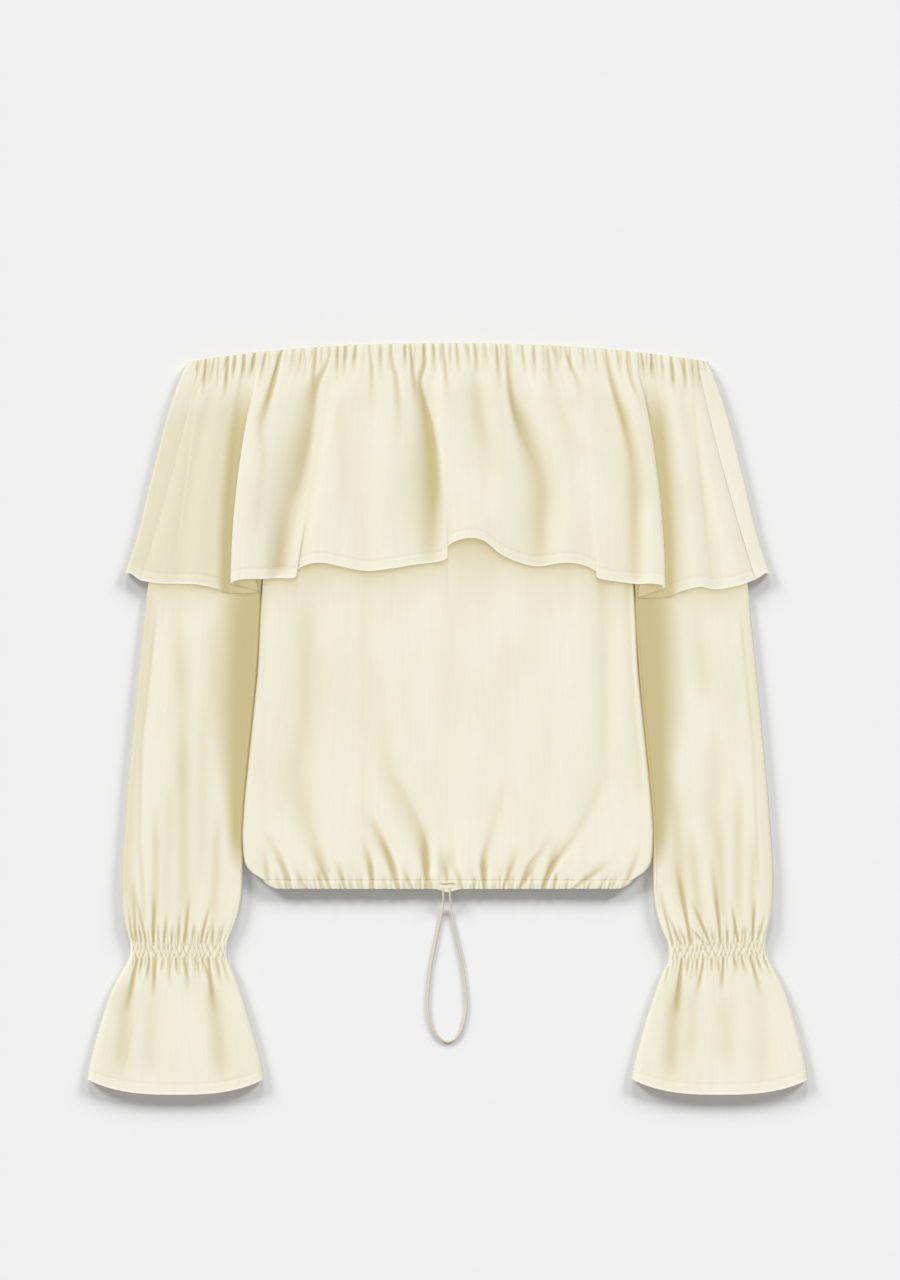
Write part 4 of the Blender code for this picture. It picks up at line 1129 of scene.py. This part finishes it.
def make_flounce_back(finish):
    """The back flounce, which comes round each side fold to its seam on the front."""
    radius = FLOUNCE_REST / 2
    shares = join(np.array(UNDER_SEAM) / FLOUNCE_DEPTH, np.linspace(0, 1, 70))
    flap = np.linspace(0, 1, 12)
    rows = []
    for share in shares:
        under = sink(-share * FLOUNCE_DEPTH)
        half = read(FLOUNCE_EDGE, mix(float(neckline(NECK_HALF)) - NECK_CHANNEL, CORNER_HEM, share))[0]
        side_y = mix(float(neckline(half - radius)) - NECK_CHANNEL, CORNER_HEM, share)
        seams = []
        for place in (0, LAST_FOLD):
            neck, half_way, hem, hem_y = read(FOLDS, place)[:4]
            seam_y = mix(float(neckline(neck)) - NECK_CHANNEL, hem_y, share)
            seams.append((fold_x(neck, half_way, hem, share), seam_y))
        (left_x, left_y), (right_x, right_y) = seams
        back_x = np.linspace(half - radius, radius - half, 110)
        inner = smooth(half - radius, half - 40, np.abs(back_x))
        back_y = mix(side_y, mix(neckline(back_x) - NECK_CHANNEL - 0.1, BACK_HEM, share), inner)
        back_z = 0.35 * inner * (1 - smooth(0, 0.3, share)) * ripple(back_x, 1.9, 2, 23) + under
        flap_z = FLOUNCE_REST - 0.5 * smooth(0, 0.03, share) * (1 - smooth(0, 0.45, flap)) - under
        right_flap = (mix(right_x - 1.6, half - radius, flap), flap_z)
        x, z = round_row(right_flap, half, FLOUNCE_REST, (back_x, back_z))
        x, z = join(x, mix(radius - half, left_x + 1.6, flap)), join(z, flap_z[::-1])
        side = np.full(BEND_STEPS - 1, side_y)
        right_side = mix(right_y, side_y, smooth(0, 1, flap))
        left_side = mix(side_y, left_y, smooth(0, 1, flap))
        rows.append(np.stack([x, join(right_side, side, back_y, side, left_side), z], axis=1))
    outer = np.stack(rows)
    upper = outer[..., 2] > FLOUNCE_REST - 0.6
    from_edge = FLOUNCE_DEPTH * np.repeat(1 - shares[:, None], outer.shape[1], axis=1)
    outer[..., 2] += np.where(upper, hem_band(from_edge, outer[..., 0]), 0)
    # Painted shade on the left half of the back's upper face, deepening up from the hem, and a painted
    # highlight along the hem
    fold = np.where(upper & (outer[..., 0] < 0), 0.3 * smooth(0, 50, FLOUNCE_DEPTH - from_edge), 0)
    make_cloth(
        "flounce_back", outer, finish, flat=(0.66, 0.205), turn_end=True, fold=fold, lit=hem_light(from_edge)
    )


def make_neck_channel(finish, front):
    """The elastic channel round the neckline, whose gathers run on into the flounce."""
    rows, tones = [], []
    places = flounce_places()
    neck = front[len(UNDER_SEAM), :, 0]
    from_side = np.pad(np.minimum(places, LAST_FOLD - places), NECK_SIDE, mode="edge")
    for down in CHANNEL_LEVELS:
        under = sink(down - NECK_CHANNEL)
        half = NECK_HALF - 0.8 + 4.6 * min(down / NECK_CHANNEL, 1)
        flat = half - FLOUNCE_REST / 2
        left_end = np.linspace(-flat, neck[0], NECK_SIDE + 1)[:-1]
        front_x = join(left_end, neck, -left_end[::-1])
        rise, tone = neck_rise(front_x, neckline(front_x) - down)
        front_z = FLOUNCE_REST + rise * smooth(0, 1, from_side) * mix(0.7, 1, min(down / 3, 1)) - under
        back_x = np.linspace(flat, -flat, 150)
        back = (back_x, 0.3 * ripple(back_x, 1.9, 2, 23) + under)
        x, z = round_row((front_x, front_z), half, FLOUNCE_REST, back)
        dip = join(tone, np.zeros(len(x) - len(tone)))
        y = neckline(x) - down - 0.8 * unit(dip * 1.4) * smooth(3.5, 0, down)
        rows.append(np.stack([x, y, z], axis=1))
        tones.append(dip)
    outer, tone = np.stack(rows), np.stack(tones)
    weave = run(np.concatenate([outer, outer[:, :1]], axis=1), 1)
    grown = run(front, 1)
    last = NECK_SIDE + len(neck)
    weave[last:] += grown[-1] - weave[last - 1]
    weave[:NECK_SIDE] -= weave[NECK_SIDE]
    weave[NECK_SIDE:last] = grown
    front_only = np.arange(outer.shape[1]) < last + NECK_SIDE
    # The gathers' painted shade goes in as its fold shade, and a painted highlight on the crests of the front
    lit = 0.35 * crests(outer[..., 2], True) * front_only
    make_cloth(
        "neck_channel", outer, finish, flat=(0.96, 0.0105), rests_on=("flounce_front_cloth",),
        ring=True, turn_top=True, u=weave, fold=tone, lit=lit,
    )


# Body


def under_height(y):
    """The height of an underside: on the surface, or on the back flounce above its hem."""
    return float(LAYER * smooth(FLAT_FROM, BACK_HEM - 3, y))


def hem_rise(x, y):
    """The puffs between the gathers that the drawcord makes, and the painted shade that darkens the dents
    between them and the long folds.
    """
    puff = HEM_PUFF * (1 - smooth(0, HEM_PUFF_FADE, y - BODY_END))
    puff = puff * smooth(BUTTONHOLE_FLAT - 6, BUTTONHOLE_FLAT, np.abs(x))
    rows = []
    for at, reach, deep in fine_gathers(76, -164, 164, (6, 20), (0.3, 1)):
        if abs(at - HOLE_X) > 9:
            deep *= 0.4 + 1.2 * float(smooth(-0.4, 0.8, math.sin(at / 7.5) + math.sin(at / 3.9 + 1)))
            rows.append((at, -153.5, 1.02 * at, -153.5 + reach, deep))
    fine = creases(x, y, rows, 0.8, 1.2)
    dents = creases(x, y, HEM_CREASES, 1.5, 3.2)
    long = folds(x, y, BODY_FOLDS)
    tone = 0.7 * unit(dents / 1.2 + fine) + 0.55 * unit(long / 2.2)
    return puff - capped(1.2 * dents + long + fine, 2.8), tone


def body_height(x, y):
    top = mix(UNDER_FLOUNCE, BODY_REST, smooth(112, 55, y))
    top = top + 0.8 * smooth(-60, -122, y) - 1.1 * smooth(-126, -146, y)
    rise, tone = hem_rise(x, y)
    return top + rise * smooth(126, 112, y), tone


def body_section(level):
    """Half the width, top, bottom, half the flat width and closing of the body at a level."""
    half = read(BODY_EDGE, level)[0]
    top = float(body_height(np.array([half]), np.array([level]))[0][0])
    bottom = under_height(level)
    return half, top, bottom, half - (top - bottom) / 2, float(smooth(UNDERARM, CLOSED_BELOW, level))


def body_row(x, level, z):
    """One row of a body panel, which follows the neckline above the armholes."""
    y = mix(level, neckline(x) - NECK_CHANNEL - SEAM_GAP, smooth(240, BODY_TOP_ROW, level))
    return np.stack([x, y, z], axis=1)


def under_hem(outer, front):
    """How much the flounce shades the cloth just below its hem."""
    x, y, z = front[-1, np.argsort(front[-1, :, 0])].T
    below = np.maximum(np.interp(outer[..., 0], x, y) - outer[..., 1], 0)
    high = smooth(4.2, 7.2, np.interp(outer[..., 0], x, z) - FLOUNCE_REST)
    return (0.45 + 0.14 * high) * bump(below, mix(15, 34, high), 1.4) + 0.3 * bump(below, 3)


def make_body_front(finish, front):
    rows, tones, edges = [], [], []
    for level in steps((BODY_TOP_ROW, 170, 10), (170, -110, 78), (-110, BODY_END - 0.5, 38)):
        half, top, bottom, flat, closing = body_section(level)
        side_x, side_z = quarter(top, bottom, closing, 9, 1)
        side_x = flat + side_x
        x = np.linspace(-flat, flat, 236)
        z, tone = body_height(x, np.full_like(x, level))
        z = z - 0.3 * smooth(BODY_END + 0.2, BODY_END - 0.5, level)
        x = join(-side_x, x, side_x[::-1])
        tones.append(np.pad(tone, len(side_x), mode="edge"))
        edges.append(bump(half - np.abs(x), 1.5))
        rows.append(body_row(x, level, join(side_z, z, side_z[::-1])))
    outer = np.stack(rows)
    # Painted shade in the dents, folds and hollows, along both sides and just below the flounce's hem, and a
    # painted highlight on the crests of the hem's puffs
    fold = unit(np.stack(tones) + 0.25 * hollows(outer[..., 2], broad=60))
    near = np.maximum(0.9 * np.stack(edges), under_hem(outer, front))
    lit = 0.5 * crests(outer[..., 2]) * smooth(-100, -138, outer[..., 1])
    below = ("body_back_cloth",)
    make_cloth("body_front", outer, finish, flat=(0.40, 0.48), rests_on=below, fold=fold, near=near, lit=lit)


def make_body_back(finish):
    rows = []
    for level in steps((BODY_TOP_ROW, 170, 12), (170, BODY_END - 0.1, 60)):
        half, top, bottom, flat, closing = body_section(level)
        side_x, side_z = quarter(top, bottom, closing, 9, -1)
        side_x = flat + side_x
        x = np.linspace(flat, -flat, 150)
        z = bottom + 0.35 * (1 - smooth(0, 40, level - BODY_END)) * ripple(x, 2.3, 2, 21)
        rows.append(body_row(join(side_x, x, -side_x[::-1]), level, join(side_z, z, side_z[::-1])))
    make_cloth("body_back", np.stack(rows), finish, flat=(0.38, 0.475), held="laid")


def make_hem_channel(finish):
    start, end = HEM_ROWS[-1][0], HEM_ROWS[0][0]
    rows, tones = [], []
    for level in np.linspace(start, end, 22):
        half = read(HEM_ROWS, level)[0]
        down = (start - level) / (start - end)
        flat = half - CHANNEL_REST / 2
        x = steps((-flat, -12, 150), (-12, 12, 60), (12, flat, 150))
        y = level - HEM_DIP * down * bump(x, HEM_DIP_WIDTH)
        rise, tone = hem_rise(x, y)
        z = CHANNEL_REST + rise * mix(1, 0.7, down) + 0.4 * math.sin(math.pi * min(down * 1.1, 1))
        within = bump(x - HOLE_X, HOLE_LENGTH / 2, 8)
        slot = bump(y - slot_y(x), 0.85, 4) * within
        z += 0.6 * bump(y - HOLE_Y + 2.6, 1.1) * within - 2 * slot - STITCH_DIP * bump(down - 0.12, 0.08)
        back_x = np.linspace(flat, -flat, 120)
        row_x, row_z = round_row((x, z), half, CHANNEL_REST, (back_x, 0.35 * ripple(back_x, 2.3, 2, 21)))
        rest = len(row_x) - len(x)
        rows.append(np.stack([row_x, join(y, np.full(rest, level)), row_z], axis=1))
        # Painted shade in the gathers' dents and in the cord's slot
        tones.append(join(np.maximum(tone, slot), np.zeros(rest)))
    outer = np.stack(rows)
    # Painted highlight on the crests of the front
    lit = 0.5 * crests(outer[..., 2], True) * (outer[..., 2] > CHANNEL_REST - 1)
    make_cloth(
        "hem_channel", outer, finish, flat=(0.68, 0.01), ring=True, turn_end=True,
        fold=np.stack(tones), lit=lit,
    )
    return outer


# Sleeves, wrists and cuffs, on the picture's left for side -1 and right for side 1


def tilt(side, x, y, share):
    """The wrist seam of one sleeve lies at a slant. X is as it would be on the right."""
    return y + WRIST_TILT[side] * share * (x - CUFF_ROWS[0][2]) / (2 * CUFF_ROWS[0][1])


def cross_section(inner, outer, top, bottom, columns, closing=1):
    """X, Z and part of a flattened sleeve from its inner edge over the front and round the back."""
    radius = (top - bottom) / 2
    (out, upper), (_, lower) = (quarter(top, bottom, closing, 7, way) for way in (1, -1))
    edge_x = inner + radius - out
    front_x = np.linspace(inner + radius, outer - radius, columns)
    back_x = np.linspace(outer - radius, inner + radius, SLEEVE_BACK)
    round_x, round_z = bend(outer, 1, top, bottom)
    x = join(edge_x, front_x, round_x, back_x, edge_x[::-1])
    z = join(upper, np.full(columns, top), round_z, np.full(SLEEVE_BACK, bottom), lower[::-1])
    front, back = np.zeros(len(x)), np.zeros(len(x))
    front[len(edge_x) : len(edge_x) + columns] = 1
    back[len(edge_x) + columns + len(round_x) : -len(edge_x)] = 1
    return x, z, front, back


def placed(side, rows):
    """The grid in its own place. A mirrored one has its columns turned round, to face outwards."""
    outer = np.stack(rows)
    if side < 0:
        outer[..., 0] *= -1
        outer = outer[:, ::-1]
    return outer


def seam_line(points, fold):
    """X, height and painted fold shade across the front of a row, in order of X."""
    front = points[:, 2] > FRONT_ABOVE
    order = np.argsort(points[front, 0])
    return points[front, 0][order], points[front, 2][order], fold[front][order]


def wrist_creases(side, rows, edge, grow):
    """The listed gathers that leave a wrist, made longer, and small ones between them."""
    found = [(row[0], row[1], mix(row[0], row[2], grow), mix(row[1], row[3], grow), row[4]) for row in rows]
    middle = side * CUFF_ROWS[0][2]
    way = 1 if rows[0][3] > rows[0][1] else -1
    for at, reach, deep in fine_gathers(22, middle - 43, middle + 43, (7, 20), (0.35, 0.8)):
        across = (at - middle) / 43
        start = edge + 0.5 * WRIST_TILT[side] * across
        found.append((at, start, at + 0.2 * across * reach, start + way * reach, deep))
    return found


def make_sleeve(side, name, finish, flounce):
    levels = steps((311, 150, 10), (150, -110, 60), (-110, SLEEVE_END, 50))
    gathers = wrist_creases(side, SLEEVE_CREASES[side], -200, 1.3)
    rows, tones = [], []
    for level in join(levels, SLEEVE_END + np.array(UNDER_SEAM)[::-1]):
        inner, outer, rest = read(SLEEVE_ROWS, level)
        inner -= BODY_TOUCH * float(smooth(CLOSED_BELOW, FLAT_FROM, level) * smooth(-140, -118, level))
        closing = float(smooth(UNDERARM, CLOSED_BELOW, level))
        x, z, front, back = cross_section(inner, outer, rest, under_height(level), 132, closing)
        across = unit((x - inner) / (outer - inner))
        edges = smooth(0, 0.05, across) * smooth(1, 0.95, across)
        shown = float(smooth(116, 60, level))
        crown = SLEEVE_CROWN * np.sin(np.pi * across) - SLEEVE_INNER_DIP * smooth(0.35, 0, across)
        puff = float(1 - smooth(0, SLEEVE_PUFF_FADE, level + 199.8))
        puff *= 0.45 + 0.55 * float(smooth(0, 14, level - SLEEVE_END))
        y = tilt(side, x, level, float(smooth(TILT_FROM, -199.8, level)))
        dents = capped(1.25 * creases(side * x, y, gathers, 0.9, 1.2), 2)
        long = valleys(side * x, y, SLEEVE_VALLEYS[side]) * shown
        # Painted shade in the gathers' dents and the long folds
        tones.append(front * (0.8 * unit(dents / 1.3) + 0.7 * unit(long / 1.6)))
        past = sink(SLEEVE_END - level)
        z = z + front * (crown * shown + SLEEVE_PUFF * puff * edges - dents - long - past)
        z = z + back * (past + 0.5 * puff * edges * ripple(x, 1.6, 1.5, 9))
        top_y = neckline(np.minimum(x, NECK_HALF)) - NECK_CHANNEL - SEAM_GAP
        rows.append(np.stack([x, mix(y, top_y, smooth(240, 311, level)), z], axis=1))
    grid = placed(side, rows)
    out, y, z = np.abs(grid[..., 0]), grid[..., 1], grid[..., 2]
    front = z > FRONT_ABOVE
    # Painted shade in folds and hollows, beside the body's edge, along the outer edge (more on the left
    # sleeve) and below the flounce's hem, and a painted highlight on the crests near the wrist
    fold = unit(np.stack(tones)[:, ::side] + 0.25 * hollows(z))
    from_body = out - spline(BODY_EDGE, np.maximum(y, BODY_END))[0]
    near = (1 - smooth(0.3, 1, from_body / mix(16, 50, smooth(-130, 60, y)))) * smooth(-158, -100, y)
    from_edge = spline([(row[0], row[2]) for row in SLEEVE_ROWS], y)[0] - out
    near = np.maximum(near, OUTER_SHADE[side] * (1 - smooth(2, 15, from_edge)))
    near = np.maximum(near, under_hem(grid, flounce)) * front
    lit = 0.5 * crests(z) * front * smooth(-150, -185, y)
    make_cloth(name, grid, finish, flat=(0.23, 0.51), fold=fold * front, near=near, lit=lit)
    seam = len(grid) - 1 - len(UNDER_SEAM)
    return seam_line(grid[seam], fold[seam])


def make_wrist(side, name, finish, above, below):
    rows, tones = [], []
    start, end = SLEEVE_END, CUFF_START
    past_seam = np.array(UNDER_SEAM)
    for level in join(start - past_seam, np.linspace(start, end, 28), end + past_seam[::-1]):
        inner, outer, rest = read(WRIST_ROWS, level)
        down = (start - level) / (start - end)
        x, z, front, back = cross_section(inner, outer, rest, 0, 260)
        across = unit((x - inner) / (outer - inner))
        edges = smooth(0, 0.04, across) * smooth(1, 0.96, across)
        at = across * WRIST_PUFFS + 0.3 * np.sin(across * 21) + 0.05 * np.sin(across * 71)
        less = 0.15 * (1 + np.sin(across * 37 + 3 * np.sin(across * 13) + 5 * down))
        sway = 0.5 * WRIST_THREADS * down
        one_way = mix(np.abs(np.sin(np.pi * (at + sway))), 1, less)
        other_way = mix(np.abs(np.sin(np.pi * (at - sway))), 1, 0.3 - less)
        pinch = 0.1 * (1 + math.cos(2 * math.pi * down * WRIST_THREADS))
        rise = WRIST_PUFF_RISE * np.minimum(one_way, other_way) ** 0.8 - pinch
        # Painted shade between the shirred puffs and along the elastic's rows
        tone = 0.75 * unit((1 - one_way) ** 2 + (1 - other_way) ** 2) + 0.4 * pinch
        shaped = z + rise * edges
        for share, (seam_x, seam_z, seam_painted_shade) in ((1 - down, above), (down, below)):
            blend = float(smooth(0.68, 0.98, share))
            shaped = mix(shaped, np.interp(side * x, seam_x, seam_z), blend)
            tone = mix(tone, np.interp(side * x, seam_x, seam_painted_shade), blend)
        past = sink(max(level - start, end - level))
        tones.append(front * edges * tone)
        z = np.where(front > 0, shaped - past, z + back * ((0.25 + 0.35 * rise) * edges + past))
        rows.append(np.stack([x, tilt(side, x, level, 1), z], axis=1))
    grid = placed(side, rows)
    # Painted highlight on the puffs' crests
    lit = 0.6 * crests(grid[..., 2], True) * (grid[..., 2] > FRONT_ABOVE)
    fold = unit(np.stack(tones)[:, ::side])
    make_cloth(name, grid, finish, flat=(0.2, 0.021), ring=True, fold=fold, lit=lit)


def make_cuff(side, name, finish):
    depth = CUFF_TOP - CUFF_HEM
    shares = join(np.array(UNDER_SEAM) / depth, steps((0, 0.4, 40), (0.4, 0.88, 22), (0.88, 1, 20)))
    gathers = wrist_creases(side, CUFF_CREASES[side], -217.5, 1.15)
    rows, tones, lights = [], [], []
    for share in shares:
        half, centre = read(CUFF_ROWS, share)
        opened = float(smooth(0.1, 0.6, share))
        x, z, front, back = cross_section(centre - half, centre + half, CUFF_REST + 0.6 * opened, 0, 136)
        across = np.abs(np.clip((x - centre) / half, -1, 1))
        hem = CUFF_HEM + CUFF_CORNER_RISE * across**CUFF_HEM_ROUND
        y = tilt(side, x, mix(CUFF_START, hem, share), 1 - share)
        past = sink(-share * depth)
        edges = smooth(1, 0.92, across)
        puff = CUFF_PUFF * float((1 - smooth(0, 0.38, share)) * (0.45 + 0.55 * smooth(0, 0.12, share)))
        dents = capped(1.25 * creases(side * x, y, gathers, 0.9, 2.2), 2)
        long = valleys(side * x, y, CUFF_VALLEYS[side])
        from_edge = (1 - share) * depth
        # Painted shade in the gathers' dents and flutes, and above the hem's stitches
        tone = front * (0.8 * unit(dents / 1.3) + 0.6 * unit(long / 1.8))
        tones.append(tone + hem_shade(from_edge))
        z = z + front * ((puff + 0.7 * opened + hem_band(from_edge, x)) * edges - dents - long - past)
        fine = 0.35 * float(1 - smooth(0, 0.4, share)) * edges * ripple(x, 1.9, 1, 7)
        lights.append(np.full(len(x), float(hem_light(from_edge))))
        rows.append(np.stack([x, y, z + back * (past + fine)], axis=1))
    grid = placed(side, rows)
    z = grid[..., 2]
    # Painted shade in hollows, and a painted highlight along the hem and on the crests below the wrist
    fold = unit(np.stack(tones)[:, ::side] + 0.25 * hollows(z, True))
    lit = np.stack(lights) + 0.5 * crests(z, True) * smooth(-250, -228, grid[..., 1])
    lit = lit * (z > FRONT_ABOVE)
    make_cloth(name, grid, finish, flat=(0.32, 0.125), ring=True, turn_end=True, fold=fold, lit=lit)
    seam = len(UNDER_SEAM)
    return grid, seam_line(grid[seam], fold[seam])


# Studio


def make_studio():
    size = 4.0
    mesh = bpy.data.meshes.new("floor")
    corners = [(-size, -size, 0), (size, -size, 0), (size, size, 0), (-size, size, 0)]
    mesh.from_pydata(corners, [], [(0, 1, 2, 3)])
    floor = link("floor", mesh)
    mesh.materials.append(studio_paper("studio_paper"))

    pieces = [obj for obj in bpy.context.scene.objects if obj.type == "MESH" and obj is not floor]
    groups = {}
    for name, members in (("garment", pieces), ("lit_floor", [floor]), ("lit_cloth", pieces)):
        groups[name] = bpy.data.collections.new(name)
        for obj in members:
            groups[name].objects.link(obj)
    for name, lamps in (("lit_floor", FLOOR_LAMPS), ("lit_cloth", CLOTH_LAMPS)):
        for azimuth, elevation, spread, share, casts in lamps:
            sun = bpy.data.lights.new(name, "SUN")
            sun.energy = share * math.pi / math.sin(math.radians(elevation))
            sun.angle = math.radians(spread)
            sun.use_shadow = casts
            lamp = link(name, sun)
            lamp.rotation_euler = (math.radians(elevation - 90), 0, math.radians(azimuth))
            lamp.light_linking.receiver_collection = groups[name]
            lamp.light_linking.blocker_collection = groups["garment"]
    world = bpy.data.worlds.new("studio")
    bpy.context.scene.world = world
    world.use_nodes = True
    world.node_tree.nodes["Background"].inputs["Color"].default_value = (1, 1, 1, 1)
    world.node_tree.nodes["Background"].inputs["Strength"].default_value = SKY
    bpy.context.scene.view_settings.view_transform = "Standard"


def main():
    make_camera()
    make_drawcord(braid("drawcord_elastic"))
    cloth = crepe("cream_crepe")
    front = make_flounce_front(cloth)
    make_flounce_back(cloth)
    make_neck_channel(cloth, front)
    make_body_front(cloth, front)
    make_body_back(cloth)
    channel = make_hem_channel(cloth)
    cuffs = []
    for side, name in ((-1, "right"), (1, "left")):
        above = make_sleeve(side, f"sleeve_{name}", cloth, front)
        cuff, below = make_cuff(side, f"cuff_{name}", cloth)
        make_wrist(side, f"wrist_{name}", cloth, above, below)
        cuffs.append(cuff)
    sewing = thread("cream_thread")
    nodes = stitch_nodes()
    make_stitches("flounce_hem_stitches", [hem_line(front)], nodes, sewing)
    make_stitches("cuff_hem_stitches", [hem_line(cuff) for cuff in cuffs], nodes, sewing)
    make_stitches("hem_channel_stitches", [channel[2][:358] + np.array((0, 0, 0.08))], nodes, sewing)
    make_stitches(
        "buttonhole_stitches", [buttonhole_line()], nodes, sewing, BUTTONHOLE_STITCH, True, ["cord_hole"]
    )
    make_studio()


main()
